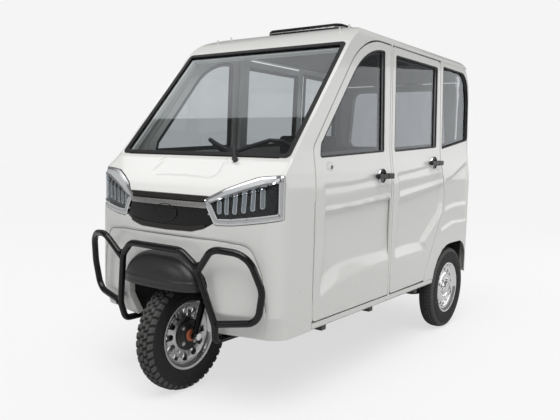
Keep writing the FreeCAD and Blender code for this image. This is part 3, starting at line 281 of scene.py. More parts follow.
# A smooth line through a few points in millimetres: straight runs averaged over a short length
def curve(points, blur=70):
    knots = np.array(points, float) * mm
    offsets = np.linspace(-blur / 2, blur / 2, 9) * mm
    return lambda u: np.mean([np.interp(u + o, knots[:, 0], knots[:, 1]) for o in offsets], axis=0)


sectionWidth = curve(body["sectionKnots"], 24)
profileFront = curve(body["profileKnots"], 30)


# Corners replaced by arcs, where a radius is more than zero. Works for closed outlines and open paths.
def rounded(points, radii, steps):
    before = np.roll(points, 1, axis=0) - points
    after = np.roll(points, -1, axis=0) - points
    before /= np.linalg.norm(before, axis=1)[:, None]
    after /= np.linalg.norm(after, axis=1)[:, None]
    half = np.arccos(np.clip((before * after).sum(1), -1, 1)) / 2
    reach = radii / np.tan(half)
    bisector = before + after
    bisector /= np.maximum(np.linalg.norm(bisector, axis=1), 1e-9)[:, None]
    centre = points + bisector * (radii / np.sin(half))[:, None]
    start = points + before * reach[:, None] - centre
    end = points + after * reach[:, None] - centre
    blend = np.linspace(0, 1, steps)[None, :, None]
    arcs = start[:, None] * (1 - blend) + end[:, None] * blend
    length = np.linalg.norm(arcs, axis=2, keepdims=True)
    arcs = arcs / np.maximum(length, 1e-9) * radii[:, None, None]
    outline = (centre[:, None] + arcs).reshape(-1, points.shape[1])
    apart = np.linalg.norm(outline - np.roll(outline, 1, axis=0), axis=1)
    return outline[apart > 1e-6]


# A closed outline in metres from corners (u, v, radius) in millimetres
def roundedOutline(corners, steps=7):
    corners = np.array(corners, float) * mm
    return rounded(corners[:, :2], corners[:, 2], steps)


# Corners of a rectangle with one corner radius, for roundedOutline
def rectangle(lowU, lowV, highU, highV, radius):
    return ((lowU, lowV, radius), (highU, lowV, radius), (highU, highV, radius), (lowU, highV, radius))


# The outline moved outwards along its normals by a distance in metres
def grown(outline, distance):
    ahead = np.roll(outline, -1, axis=0) - np.roll(outline, 1, axis=0)
    ahead /= np.linalg.norm(ahead, axis=1)[:, None]
    following = np.roll(outline, -1, axis=0)
    area = (outline[:, 0] * following[:, 1] - following[:, 0] * outline[:, 1]).sum()
    outward = np.stack([ahead[:, 1], -ahead[:, 0]], 1) * np.sign(area)
    return outline + outward * distance


# Distance from each point to a closed outline, negative inside it
def signedDistance(points, outline):
    start = outline[None]
    run = np.roll(outline, -1, axis=0)[None] - start
    offset = points[:, None] - start
    share = np.clip((offset * run).sum(2) / (run ** 2).sum(2), 0, 1)
    distance = np.linalg.norm(offset - run * share[..., None], axis=2).min(1)
    above = offset[..., 1] < 0
    nextAbove = offset[..., 1] - run[..., 1] < 0
    slope = run[..., 0] / np.where(run[..., 1] == 0, 1, run[..., 1])
    crossed = (above != nextAbove) & (offset[..., 0] < slope * offset[..., 1])
    return np.where(crossed.sum(1) % 2 == 1, -distance, distance)


# Grid points and quads inside the region and outside the holes, with the border points on the outlines
def trimmedGrid(region, holes, step):

    def field(points):
        values = [signedDistance(points, region)] + [-signedDistance(points, hole) for hole in holes]
        return np.max(values, axis=0)

    low, high = region.min(0), region.max(0)
    us, vs = (np.arange(low[k] - step / 2, high[k] + step, step) for k in (0, 1))
    grid = np.stack(np.meshgrid(us, vs, indexing="ij"), -1)
    centres = grid[:-1, :-1] + step / 2
    keep = field(centres.reshape(-1, 2)).reshape(centres.shape[:2]) < -step / 8
    index = np.arange(grid.shape[0] * grid.shape[1]).reshape(grid.shape[:2])
    quads = np.stack([index[:-1, :-1], index[1:, :-1], index[1:, 1:], index[:-1, 1:]], -1)[keep]
    points = grid.reshape(-1, 2)
    uses = np.bincount(quads.ravel(), minlength=len(points))
    border = (uses > 0) & (uses < 4)
    nudge = step / 50
    for _ in range(3):
        at = points[border]
        value = field(at)
        slope = np.stack([field(at + [nudge, 0]) - value, field(at + [0, nudge]) - value], 1) / nudge
        slope /= np.maximum(np.linalg.norm(slope, axis=1), 1e-6)[:, None]
        points[border] = at - slope * value[:, None]
    used = np.unique(quads)
    renumber = np.zeros(len(points), int)
    renumber[used] = np.arange(len(used))
    return points[used], renumber[quads]


def smooth(mesh):
    mesh.polygons.foreach_set("use_smooth", np.ones(len(mesh.polygons), bool))


def addObject(name, data):
    made = bpy.data.objects.new(name, data)
    bpy.context.collection.objects.link(made)
    return made


# A smooth object from points with y from the front axle, and a list or an array of faces
def makeMesh(name, points, faces, material, flip=False):
    points = np.array(points, float)
    points[:, 1] += axleY
    if flip:
        faces = faces[:, ::-1]
    mesh = bpy.data.meshes.new(name)
    mesh.from_pydata(points.tolist(), [], faces if isinstance(faces, list) else faces.tolist())
    smooth(mesh)
    mesh.materials.append(paints[material])
    return addObject(name, mesh)


def modifier(target, kind, **settings):
    made = target.modifiers.new(kind.title(), kind)
    for key, value in settings.items():
        setattr(made, key, value)


def softEdges(target, width, angle, segments=2):
    modifier(target, "BEVEL", width=width, segments=segments, limit_method="ANGLE",
             angle_limit=math.radians(angle), harden_normals=True)
    return target


# Give a sheet its thickness inwards, and small round edges
def thicken(target, depth, edge):
    modifier(target, "SOLIDIFY", thickness=depth, offset=-1, use_even_offset=False)
    return softEdges(target, edge, 55)


# A trimmed grid carried into space by place(u, v), which returns x, y and z
def sheet(name, region, holes, place, material, depth, step=body["sheetStep"], mirror=False, edge=1.5 * mm):
    flat, quads = trimmedGrid(region, holes, step)
    points = np.stack(place(flat[:, 0], flat[:, 1]), 1)
    if mirror:
        points[:, 0] *= -1
    return thicken(makeMesh(name, points, quads, material, mirror), depth, edge)


# Pieces that ride a body, with the nodes they stand in for hidden
def show(bodyName, slotName, *made, replaced=()):
    for one in made:
        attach(one, bodyName)
    if replaced:
        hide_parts(*replaced)


# Doors and quarter panels. Outlines are (y, z, corner radius); lines and edges are knots of curves.

doorShapes = {
    "front": {
        "outline": ((253, 385, 15), (1019, 385, 15), (1019, 1765, 15), (709, 1765, 420), (253, 1196, 50)),
        "window": ((300, 1148, 14), (958, 1185, 14), (954, 1727, 14), (735, 1723, 420), (312, 1215, 26)),
        "lines": {
            "band": ((253, 1020), (330, 1022), (560, 1028), (800, 1047), (1019, 1062)),
            "sash": ((253, 966), (348, 968), (509, 973), (803, 996), (1019, 1010)),
            "ridgeTop": ((253, 914), (351, 916), (630, 927), (983, 956), (1019, 958)),
            "ridge": ((253, 902), (351, 904), (630, 913), (983, 938), (1019, 940)),
            "scoop": ((253, 500), (300, 540), (355, 590), (484, 634), (650, 648), (1019, 645)),
            "foot": ((253, 470), (295, 486), (458, 536), (656, 562), (1019, 577))},
        "frontEdge": ((385, 268), (481, 300), (581, 314), (688, 334), (780, 336), (901, 329), (1022, 316),
                      (1110, 300)),
        "rearEdge": ((385, 996), (560, 1012), (650, 1010), (760, 1016), (962, 1012), (1142, 1004)),
        "rearRun": 24},
    "rear": {
        "outline": ((1051, 385, 15), (1512, 389, 20), (1773, 803, 120), (1796, 905, 150), (1743, 1130, 300),
                    (1721, 1765, 26), (1051, 1765, 15)),
        "window": ((1081, 1186, 14), (1682, 1221, 14), (1684, 1727, 18), (1084, 1724, 14)),
        "lines": {
            "band": ((1051, 1058), (1083, 1062), (1409, 1092), (1565, 1108), (1800, 1124)),
            "sash": ((1051, 1017), (1080, 1020), (1397, 1042), (1800, 1072)),
            "ridgeTop": ((1051, 962), (1128, 967), (1403, 989), (1800, 1020)),
            "ridge": ((1051, 920), (1132, 926), (1407, 955), (1800, 1003)),
            "scoop": ((1051, 622), (1085, 627), (1250, 642), (1441, 642), (1600, 636), (1800, 620)),
            "foot": ((1051, 572), (1100, 576), (1350, 580), (1618, 557), (1800, 540))},
        "frontEdge": ((385, 1056), (560, 1100), (650, 1092), (760, 1123), (962, 1122), (1142, 1076)),
        "rearEdge": ((385, 1500), (543, 1560), (640, 1466), (796, 1722), (868, 1752), (977, 1742), (1078, 1724),
                     (1142, 1716)),
        "rearRun": 40}}
relief = {
    "bandDepth": 7.0 * mm,
    "sashDepth": 2.0 * mm,
    "hollowDepth": 9.0 * mm,
    "scoopDepth": 21.0 * mm,
    "cornerDepth": 6.0 * mm,
    "cornerRun": 0.32,
    "cornerRise": 0.22,
    "bandEdge": (5 * mm, 12 * mm),
    "mainEdge": (14 * mm, 30 * mm),
    "sideEdge": (8 * mm, 20 * mm)}
quarterShape = {
    "outline": ((1804, 905, 120), (1751, 1130, 300), (1729, 1773, 4), (2420, 1773, 0), (2420, 345, 0),
                (2240, 345, 6), (2240, 582, 130), (1655, 582, 285), (1655, 379, 0), (1512, 379, 6),
                (1781, 803, 120)),
    "window": ((1769, 1212, 14), (2240, 1281, 26), (2242, 1549, 90), (2200, 1740, 120), (1769, 1744, 16)),
    "upper": ((1700, 1000), (1784, 1008), (1958, 1043), (2114, 1098), (2300, 1150)),
    "middle": ((1700, 822), (1806, 832), (1998, 855), (2173, 858), (2300, 858)),
    "lower": ((1700, 680), (1824, 692), (1985, 724), (2177, 721), (2300, 715)),
    "frontEdge": ((400, 1654), (540, 1700), (650, 1745), (750, 1785), (868, 1835), (977, 1832), (1078, 1796),
                  (1180, 1780)),
    "rearEdge": 2222 * mm,
    "stepDepth": 13 * mm,
    "stepFade": 8 * mm,
    "stepRun": 34 * mm,
    "stepEdge": (8 * mm, 16 * mm),
    "hollowDepth": 6 * mm,
    "hollowEdge": 12 * mm,
    "sideEdge": (8 * mm, 24 * mm),
    "rearWidth": 30 * mm}
windows = {**{end: shape["window"] for end, shape in doorShapes.items()}, "quarter": quarterShape["window"]}


# A smooth step that starts a shift away from a line; the edge is (shift, width)
def pressed(distance, edge):
    return rise(distance - edge[0], edge[1])


# Depth of the pressed form: a step under the band, a rib, a hollow panel and a scoop that runs out below
def doorRelief(shape):
    lines = {name: curve(points) for name, points in shape["lines"].items()}
    frontEdge, rearEdge = curve(shape["frontEdge"], 60), curve(shape["rearEdge"], 30)
    rearRun = shape["rearRun"] * mm

    def depth(u, v):
        at = {name: line(u) for name, line in lines.items()}
        sash, ridgeTop, ridge = (
            rise((at[upper] + at[lower]) / 2 - v, at[upper] - at[lower])
            for upper, lower in (("band", "sash"), ("sash", "ridgeTop"), ("ridgeTop", "ridge")))
        fall = relief["bandDepth"] - relief["sashDepth"]
        total = pressed(at["band"] - v, relief["bandEdge"]) * (relief["bandDepth"] - fall * sash)
        total += (relief["hollowDepth"] - relief["sashDepth"]) * ridgeTop
        total -= relief["hollowDepth"] * ridge
        main = pressed(at["ridge"] - v, relief["mainEdge"])
        run = np.clip((at["scoop"] - v) / (at["scoop"] - at["foot"]), 0, 1)
        total += main * (relief["scoopDepth"] * (1 - run))
        front = np.clip(1 - (u - shape["outline"][0][0] * mm) / relief["cornerRun"], 0, 1)
        low = np.clip(1 - (v - at["scoop"]) / relief["cornerRise"], 0, 1)
        total += main * relief["cornerDepth"] * front * low * (1 - run)
        side = pressed(u - frontEdge(v), relief["sideEdge"])
        rear = np.clip((rearEdge(v) + rearRun - u) / rearRun, 0, 1)
        return total * side * rear

    return depth


# Depth of the quarter panel's pressed form: a step that fades out, and a hollow over the wheel arch
def quarterRelief(u, v):
    shape = quarterShape
    upper, middle, lower = (curve(shape[key])(u) for key in ("upper", "middle", "lower"))
    run = np.clip((middle - v) / shape["stepRun"], 0, 1)
    total = pressed(upper - v, shape["stepEdge"]) * (shape["stepDepth"] - shape["stepFade"] * run)
    foot = middle - shape["stepRun"]
    span = np.maximum(foot - shape["hollowEdge"] - lower, 1 * mm)
    total += shape["hollowDepth"] * np.clip((foot - v) / span, 0, 1)
    total *= 1 - rise(lower - v, shape["hollowEdge"])
    front = pressed(u - curve(shape["frontEdge"], 60)(v), shape["sideEdge"])
    return total * front * rise(shape["rearEdge"] - u, shape["rearWidth"])


# Onto the side, below its skin by a depth, or by a depth that is worked out for each u and v
def sidePlace(depth):
    return lambda u, v: (sectionWidth(v) - (depth(u, v) if callable(depth) else depth), u, v)


# How far back the tail's skin is at a height: nearly upright, then curving over into the roof
def tailLine(v):
    over = np.clip((v - body["tailBend"]) / body["tailRadius"], 0, 1)
    lean = body["tailLean"] * (v - body["low"])
    return body["tail"] - lean - body["tailRadius"] * (1 - np.sqrt(1 - over ** 2))


# Along the side, round the corner and in over the tail, by length along the outline
def quarterPlace(u, v):
    corner = body["tailCorner"]
    straightEnd = tailLine(v) - corner
    turn = np.clip((u - straightEnd) / corner, 0, math.pi / 2)
    beyond = np.maximum(u - straightEnd - corner * math.pi / 2, 0)
    width = sectionWidth(v) - quarterRelief(u, v)
    x = width - corner * (1 - np.cos(turn)) - beyond
    y = np.minimum(u, straightEnd) + corner * np.sin(turn)
    return x, y, v


# Where the tail panel starts at a height, by length along the outline
def quarterEnd(v):
    corner = body["tailCorner"]
    return tailLine(v) + corner * (math.pi / 2 - 1) + sectionWidth(v) - corner - body["tailInner"]


# The quarter's outline, with its rear border where the tail panel starts
def quarterRegion():
    outline = roundedOutline(quarterShape["outline"])
    outline[:, 0] = np.minimum(outline[:, 0], quarterEnd(outline[:, 1]))
    high = np.linspace(outline[:, 1].max(), body["low"], 12)[1:-1]
    last = np.argmax(outline[:, 0] * (outline[:, 1] > body["tailBend"]))
    return np.concatenate([outline[:last + 1], np.stack([quarterEnd(high), high], 1), outline[last + 1:]])


def makeSides():
    for end, shape in doorShapes.items():
        region, window = roundedOutline(shape["outline"], 9), roundedOutline(shape["window"], 9)
        for side in ("left", "right"):
            door = sheet(f"doorSkin_{end}_{side}", region, [window], sidePlace(doorRelief(shape)), "paint",
                         body["wall"], mirror=side == "right")
            show(f"{end}_{side}_door", "body_paint", door, replaced=[f"door_{end}_{side}"])
    region, window = quarterRegion(), roundedOutline(quarterShape["window"], 9)
    for side in ("left", "right"):
        panel = sheet("quarterSkin_" + side, region, [window], quarterPlace, "paint", 4 * mm,
                      mirror=side == "right")
        show("body", "body_paint", panel, replaced=["quarter_panel_" + side])


# Nose: at each height a ray from a point in the cabin meets the bowed plan, the sides and the bonnet's slope

noseShape = {
    "panel": ((542, 300, 0), (540, 480, 60), (522, 640, 60), (470, 762, 75), (300, 776, 200)),
    "grille": ((254, 970, 6), (257, 894, 6), (289, 849, 9), (236, 820, 45), (168, 803, 45), (0, 799, 0),
               (-168, 803, 45), (-236, 820, 45), (-289, 849, 9), (-257, 894, 6), (-254, 970, 6)),
    "opening": ((-262, 250, 0), (-262, 640, 80), (262, 640, 80), (262, 250, 0)),
    "bonnetLine": ((-590, 1125), (-356, 1113), (-319, 1070), (-252, 1045), (0, 1052), (252, 1045), (319, 1070),
                   (356, 1113), (590, 1125)),
    "grooveDepth": 5 * mm,
    "grooveWidth": 4.5 * mm,
    "stepDepth": 3 * mm,
    "bonnetDepth": 4 * mm,
    "bonnetHalf": 0.40}


# Length, angle from straight ahead, reach, normal's angle and x along the bow, the corner and the side
def planTable():
    bowY = body["noseRadius"] - body["noseOverhang"]
    radius = body["noseCorner"]
    cornerX = body["halfWidth"] - radius
    cornerY = bowY - math.sqrt((body["noseRadius"] - radius) ** 2 - cornerX ** 2)
    joint = math.atan2(cornerX, bowY - cornerY)
    bow = np.linspace(0, joint, 60)
    turn = np.linspace(joint, math.pi / 2, 40)[1:]
    sideY = np.linspace(cornerY, body["coneCentre"], 12)[1:]
    x = np.concatenate([body["noseRadius"] * np.sin(bow), cornerX + radius * np.sin(turn),
                        np.full(len(sideY), body["halfWidth"])])
    y = np.concatenate([bowY - body["noseRadius"] * np.cos(bow), cornerY - radius * np.cos(turn), sideY])
    normal = np.concatenate([bow, turn, np.full(len(sideY), math.pi / 2)])
    length = np.concatenate([[0], np.cumsum(np.hypot(np.diff(x), np.diff(y)))])
    angle = np.arctan2(x, body["coneCentre"] - y)
    return length, angle, np.hypot(x, body["coneCentre"] - y), normal, x


planLength, planAngle, planReach, planNormal, planX = planTable()


def smoothMin(first, second, width):
    blend = np.clip(0.5 + 0.5 * (second - first) / width, 0, 1)
    return second * (1 - blend) + first * blend - width * blend * (1 - blend)


# How far out the nose's skin lies, its ray's angle and its side, for a length along the plan and a height
def noseBase(u, v):
    side = np.sign(u) + (u == 0)
    along = np.abs(u)
    angle, normal = (np.interp(along, planLength, values) for values in (planAngle, planNormal))
    under = body["noseTurn"] * np.clip((body["noseTurnTop"] - v) / body["noseTurnHeight"], 0, 2)
    shift = under * np.cos(normal) / np.maximum(np.cos(normal - angle), 0.2)
    reach = np.interp(along, planLength, planReach) - shift
    widthReach = sectionWidth(v) / np.maximum(np.sin(angle), 1e-4)
    slopeReach = (body["coneCentre"] - profileFront(v)) / np.maximum(np.cos(angle), 1e-4)
    reach = smoothMin(reach, widthReach, 2 * mm)
    return smoothMin(reach, slopeReach, 26 * mm), angle, side


# The pressed lower panel's outline, by length along the plan
def panelOutline():
    half = np.array(noseShape["panel"], float)
    outline = roundedOutline(np.concatenate([half, half[::-1] * [-1, 1, 1]]), 5)
    outline[:, 0] = np.sign(outline[:, 0]) * np.interp(np.abs(outline[:, 0]), planX, planLength)
    return outline


# A thin groove round the pressed lower panel, the panel's own step, and the bonnet's crease
def noseRelief(u, v):
    distance = signedDistance(np.stack([u, v], 1).reshape(-1, 2), panelOutline()).reshape(np.shape(u))
    total = noseShape["grooveDepth"] * np.exp(-(distance / noseShape["grooveWidth"]) ** 2)
    total += noseShape["stepDepth"] * (1 - rise(distance, 10 * mm))
    bonnet = curve(noseShape["bonnetLine"], 30)(u)
    total += noseShape["bonnetDepth"] * rise(v - bonnet, 10 * mm) * (np.abs(u) < noseShape["bonnetHalf"])
    return total


# Onto the nose: its pressed skin, or a plain layer below it by a depth
def nosePlace(depth=None):
    def place(u, v):
        reach, angle, side = noseBase(u, v)
        reach = reach - (noseRelief(u, v) if depth is None else depth)
        return side * reach * np.sin(angle), body["coneCentre"] - reach * np.cos(angle), v
    return place


# A front-view outline (x, z) as lengths along the plan
def ontoNose(outline):
    along = np.linspace(-planLength[-1], planLength[-1], 900)
    u, v = np.broadcast_arrays(along[None], outline[:, 1:2])
    x = nosePlace(0.0)(u, v)[0]
    nearest = np.abs(x - outline[:, :1]).argmin(1)
    return np.stack([along[nearest], outline[:, 1]], 1)


def noseOutline(corners, steps=7):
    return ontoNose(roundedOutline(corners, steps))


# A plain layer on the nose, with its depth, thickness and grid step in millimetres
def noseSheet(name, outer, holes, deep, thick, material, step=9, mirror=False):
    return sheet(name, outer, holes, nosePlace(deep * mm), material, thick * mm, step * mm, mirror)


def makeNose():
    edge = planLength[-1] / mm
    lamp = grown(noseOutline(lampShape["outline"]), 2.5 * mm)
    holes = [lamp, lamp[::-1] * [-1, 1], noseOutline(noseShape["grille"], 9), roundedOutline(noseShape["opening"], 9)]
    region = roundedOutline(rectangle(-edge, 345, edge, 1143, 0))
    nose = sheet("noseSkin", region, holes, nosePlace(), "paint", 30 * mm, 5.5 * mm)
    show("body", "body_paint", nose, replaced=["front_cowl"])


# Turned and swept pieces

# Quads between the rows and columns of a point grid
def gridFaces(rows, columns, wrapRows, wrapColumns):
    a, b = np.meshgrid(np.arange(rows if wrapRows else rows - 1),
                       np.arange(columns if wrapColumns else columns - 1), indexing="ij")
    nextA, nextB = (a + 1) % rows, (b + 1) % columns
    quads = np.stack([a * columns + b, nextA * columns + b, nextA * columns + nextB, a * columns + nextB], -1)
    return quads.reshape(-1, 4)


# Close the seams of a mesh, point its faces outwards and keep edges above an angle sharp
def outward(target, sharp):
    work = bmesh.new()
    work.from_mesh(target.data)
    bmesh.ops.remove_doubles(work, verts=work.verts, dist=1e-6)
    bmesh.ops.recalc_face_normals(work, faces=work.faces)
    work.to_mesh(target.data)
    work.free()
    target.data.set_sharp_from_angle(angle=math.radians(sharp))
    return target


def circle(radius, count=90):
    angle = np.linspace(0, 2 * math.pi, count, endpoint=False)
    return np.stack([np.cos(angle), np.sin(angle)], 1) * radius * mm


# A closed (offset, radius) outline in millimetres turned round an axis through the centre
def turned(name, profile, centre, material, segments=96, axis=(1, 0, 0), side=1):
    profile = np.array(profile, float) * (side, 1) * mm
    axis = np.array(axis, float)
    first = np.cross(axis, (0, 0, 1))
    first /= np.linalg.norm(first)
    second = np.cross(axis, first)
    angle = np.linspace(0, 2 * math.pi, segments, endpoint=False)
    spoke = np.cos(angle)[:, None] * first + np.sin(angle)[:, None] * second
    points = spoke[:, None] * profile[None, :, 1, None] + axis * profile[None, :, 0, None]
    points = points + np.array(centre, float) * mm
    faces = gridFaces(segments, len(profile), True, profile[0, 1] > 0)
    return outward(makeMesh(name, points.reshape(-1, 3), faces, material), 34)


# A section carried along a path, one of its sides kept square to a fixed direction
def swept(name, path, section, material, toward=(0, 1, 0), closed=False):
    tangent = np.roll(path, -1, axis=0) - np.roll(path, 1, axis=0) if closed else np.gradient(path, axis=0)
    tangent /= np.linalg.norm(tangent, axis=1)[:, None]
    side = np.cross(tangent, toward)
    side /= np.linalg.norm(side, axis=1)[:, None]
    up = np.cross(side, tangent)
    points = path[:, None] + side[:, None] * section[None, :, :1] + up[:, None] * section[None, :, 1:]
    count = len(section)
    faces = gridFaces(len(path), count, closed, True).tolist()
    if not closed:
        faces += [list(range(count)), list(range((len(path) - 1) * count, len(path) * count))]
    return outward(makeMesh(name, points.reshape(-1, 3), faces, material), 40)


# A block with round edges, from two corners in millimetres
def block(name, low, high, material, edge):
    low, high = np.array(low, float) * mm, np.array(high, float) * mm
    pick = np.array([[i & 1, i >> 1 & 1, i >> 2 & 1] for i in range(8)], bool)
    points = np.where(pick, high, low)
    faces = [(0, 2, 3, 1), (4, 5, 7, 6), (0, 1, 5, 4), (2, 6, 7, 3), (0, 4, 6, 2), (1, 3, 7, 5)]
    return softEdges(makeMesh(name, points, faces, material), edge * mm, 40, 3)


# Wheels. A tread's pitch counts its blocks round the tyre, its rows and groove are shares of the tread's half
# width, and its gap is a share of a block's pitch. A disc's slots and the bolts are the arguments of ringHoles and
# bolts.

tyreShape = {
    "section": ((-36, 163, 0), (-47, 171, 6), (-53.5, 200, 30), (-53.5, 238, 25), (-44, 264, 12), (-22, 272.5, 60),
                (22, 272.5, 60), (44, 264, 12), (53.5, 238, 25), (53.5, 200, 30), (47, 171, 6), (36, 163, 0)),
    "treadHalf": 47 * mm,
    "treadLow": 246 * mm,
    "crown": 1.6 * mm,
    "zigzag": 0.05,
    "grooveEdge": 0.02,
    "gapEdge": 0.06,
    "wallEdge": 4 * mm,
    "wallLow": 176 * mm,
    "ribs": {"low": 226 * mm, "height": 0.9 * mm, "wave": 2.0 * mm},
    "band": {"low": 190 * mm, "high": 212 * mm, "height": 0.7 * mm},
    "blocks": {"pitch": 42, "rows": (-0.64, -0.22, 0.22, 0.64), "groove": 0.06, "gap": 0.32, "slant": 0.5,
               "depth": 9.0 * mm, "across": 100, "around": 660},
    "road": {"pitch": 72, "rows": (-0.55, -0.18, 0.18, 0.55), "groove": 0.05, "gap": 0.14, "slant": 1.6,
             "depth": 6.0 * mm, "across": 70, "around": 504}}


# The section turned round the axle; grooves cut the tread where a row's border or a slanted gap lies. With w across
# the tread and a the angle: a row border is cut where |w - row - zigzag(a)| is small, and a gap where the phase a *
# pitch / 2pi + slant * w + half a pitch for every other row is near a whole number.
def makeTyre(name, centre, tread):
    corners = np.array(tyreShape["section"], float) * mm
    path = rounded(corners[:, :2], corners[:, 2], 9)
    length = np.concatenate([[0], np.cumsum(np.linalg.norm(np.diff(path, axis=0), axis=1))])
    at = np.linspace(0, length[-1], tread["across"])
    offset, radius = np.interp(at, length, path[:, 0]), np.interp(at, length, path[:, 1])
    angle = np.linspace(0, 2 * math.pi, tread["around"], endpoint=False)[:, None]
    w = (offset / tyreShape["treadHalf"])[None]
    turn = angle * tread["pitch"] / (2 * math.pi)
    zigzag = tyreShape["zigzag"] * (np.abs((turn * 2) % 2 - 1) - 0.5) * 2
    border = np.min([np.abs(w - row - zigzag) for row in tread["rows"]], axis=0)
    cut = 1 - rise(border - tread["groove"], tyreShape["grooveEdge"])
    row = np.sum([w > row + zigzag for row in tread["rows"]], axis=0)
    phase = (turn + tread["slant"] * np.abs(w) + 0.5 * (row % 2)) % 1
    away = np.minimum(phase, 1 - phase) - tread["gap"] / 2
    cut = np.maximum(cut, 1 - rise(away, tyreShape["gapEdge"]))
    inTread, low = (rise(radius - tyreShape[key], tyreShape["wallEdge"])[None] for key in ("treadLow", "wallLow"))
    wall = (1 - inTread) * low
    rib, band = tyreShape["ribs"], tyreShape["band"]
    ribs = rib["height"] * np.sin(radius / rib["wave"])[None] * wall * (radius > rib["low"])
    raised = (rise(radius - band["low"], 2 * mm) - rise(radius - band["high"], 2 * mm))[None]
    crown = tyreShape["crown"] * (1 - np.clip(w, -1, 1) ** 2) * inTread
    out = radius[None] + crown - tread["depth"] * cut * inTread
    sideways = offset[None] + np.sign(offset)[None] * (ribs + band["height"] * raised * wall)
    x = np.broadcast_to(sideways, out.shape) + centre[0] * mm
    y = out * np.cos(angle) + centre[1] * mm
    z = out * np.sin(angle) + centre[2] * mm
    faces = gridFaces(tread["around"], tread["across"], True, False)
    made = makeMesh(name, np.stack([x, y, z], -1).reshape(-1, 3), faces, "tyre", True)
    # Mark the raised tread tops for their lighter colour, which is partly wear and partly painted light; the grooves
    # stay dark as painted shade
    wornAndLit = made.data.attributes.new("wornAndLit", "FLOAT", "POINT")
    wornAndLit.data.foreach_set("value", ((1 - cut) * inTread).ravel())
    return made


# Round-cornered slots spaced round a disc, each wider towards the rim
def ringHoles(count, inner, outer, width, corner):
    high, low = width / 2, width / 2 * 0.72
    slot = roundedOutline(((-low, inner, corner), (low, inner, corner), (high, outer, corner),
                           (-high, outer, corner)), 6)
    holes = []
    for i in range(count):
        angle = 2 * math.pi * i / count
        turn = np.array([[math.cos(angle), math.sin(angle)], [-math.sin(angle), math.cos(angle)]])
        holes.append(slot @ turn)
    return holes


# A pressed disc with slots; the wheel's face gives how far out it lies at each radius
def wheelDisc(name, centre, side, wheel, material):
    knots = np.array(wheel["face"], float) * mm

    def place(u, v):
        out = np.interp(np.hypot(u, v), knots[:, 0], knots[:, 1])
        return side * out + centre[0] * mm, side * u + centre[1] * mm, v + centre[2] * mm

    inner, outer = wheel["radii"]
    return sheet(name, circle(outer), [circle(inner)] + ringHoles(*wheel["slots"]), place, material,
                 wheel["thickness"], 3.2 * mm, edge=1.2 * mm)


boltHead = ((0, 0), (0, 1.3), (1.5, 1.3), (1.5, 1), (6, 1), (7, 0.8), (7, 0))


# Hexagon heads with washers round a hub
def bolts(name, centre, side, count, reach, offset, radius, material):
    made = []
    for i in range(count):
        angle = math.pi / 4 + 2 * math.pi * i / count
        y, z = centre[1] + reach * math.cos(angle), centre[2] + reach * math.sin(angle)
        head = [(o, radius * share) for o, share in boltHead]
        made.append(turned(f"{name}_{i}", head, (centre[0] + side * offset, y, z), material, 12, side=side))
    return made


frontWheel = {
    "centre": (0, 0, 275),
    "barrel": ((-46, 163), (-46, 170), (-42.5, 171), (-41, 164), (-30, 160), (-22, 149), (22, 149), (30, 160),
               (41, 164), (42.5, 171), (46, 170), (46, 163), (42, 156), (26, 146), (-26, 146), (-42, 156)),
    "face": ((60, 26), (78, 25), (92, 17), (120, 12), (134, 15), (148, 22)),
    "radii": (60, 148),
    "slots": (12, 88, 134, 37, 9),
    "thickness": 4 * mm,
    "drum": ((24, 0), (24, 73), (27, 77), (38, 77), (41, 74), (41, 66), (39, 64), (39, 44), (43, 38), (49, 36),
             (49, 0)),
    "cap": ((48, 0), (48, 29), (54, 29), (57, 26), (57, 18), (55, 16), (55, 10), (59, 8), (59, 0)),
    "bolts": (4, 54, 39, 8.5)}
rearWheel = {
    "centre": (537, 1950, 275),
    "barrel": ((-46, 156), (-46, 170), (-42, 171), (-40, 164), (-28, 158), (-20, 149), (20, 149), (27, 157),
               (38, 160), (40, 169), (44, 171), (46, 168), (44, 160), (30, 150), (22, 144), (-20, 144), (-30, 152)),
    "face": ((40, 22), (58, 22), (70, 30), (92, 32), (104, 24), (126, 22), (136, 28), (146, 30)),
    "radii": (40, 146),
    "slots": (14, 106, 126, 19, 6),
    "thickness": 3 * mm,
    "hub": ((20, 0), (20, 44), (24, 47), (34, 46), (40, 38), (48, 34), (52, 28), (53, 0)),
    "bolts": (5, 64, 26, 8)}


def makeWheels():
    wheel, centre = frontWheel, frontWheel["centre"]
    show("front_wheel", "tyre_rubber", makeTyre("tyreFront", centre, tyreShape["blocks"]), replaced=["front_tyre"])
    barrel = turned("rimFront", wheel["barrel"], centre, "silver", 128)
    show("front_wheel", "rim_silver", barrel, replaced=["front_rim"])
    for side, tag in ((-1, "Right"), (1, "Left")):
        disc = wheelDisc("discFront" + tag, centre, side, wheel, "silver")
        drum = turned("drumFront" + tag, wheel["drum"], centre, "hub", side=side)
        heads = bolts("boltFront" + tag, centre, side, *wheel["bolts"], "silver")
        show("front_wheel", "rim_silver", disc, drum, *heads)
        show("front_wheel", "handle_plastic", turned("axleCap" + tag, wheel["cap"], centre, "cap", 48, side=side))
    wheel = rearWheel
    for side, tag in ((1, "left"), (-1, "right")):
        x, y, z = wheel["centre"]
        centre, rides = (x * side, y, z), "rear_wheel_" + tag
        tyre = makeTyre("tyreRear_" + tag, centre, tyreShape["road"])
        show(rides, "tyre_rubber", tyre, replaced=["rear_tyre_" + tag])
        barrel = turned("rimRear_" + tag, wheel["barrel"], centre, "chrome", 128, side=side)
        show(rides, "rim_chrome", barrel, replaced=["rear_rim_" + tag])
        disc = wheelDisc("discRear_" + tag, centre, side, wheel, "chrome")
        hub = turned("hubRear_" + tag, wheel["hub"], centre, "chrome", 64, side=side)
        nuts = bolts("nutRear_" + tag, centre, side, *wheel["bolts"], "chrome")
        show(rides, "rim_chrome", disc, hub, *nuts)


# Guard: routes are (x, y, z, bend radius), and each joint of two tubes has a bead of weld

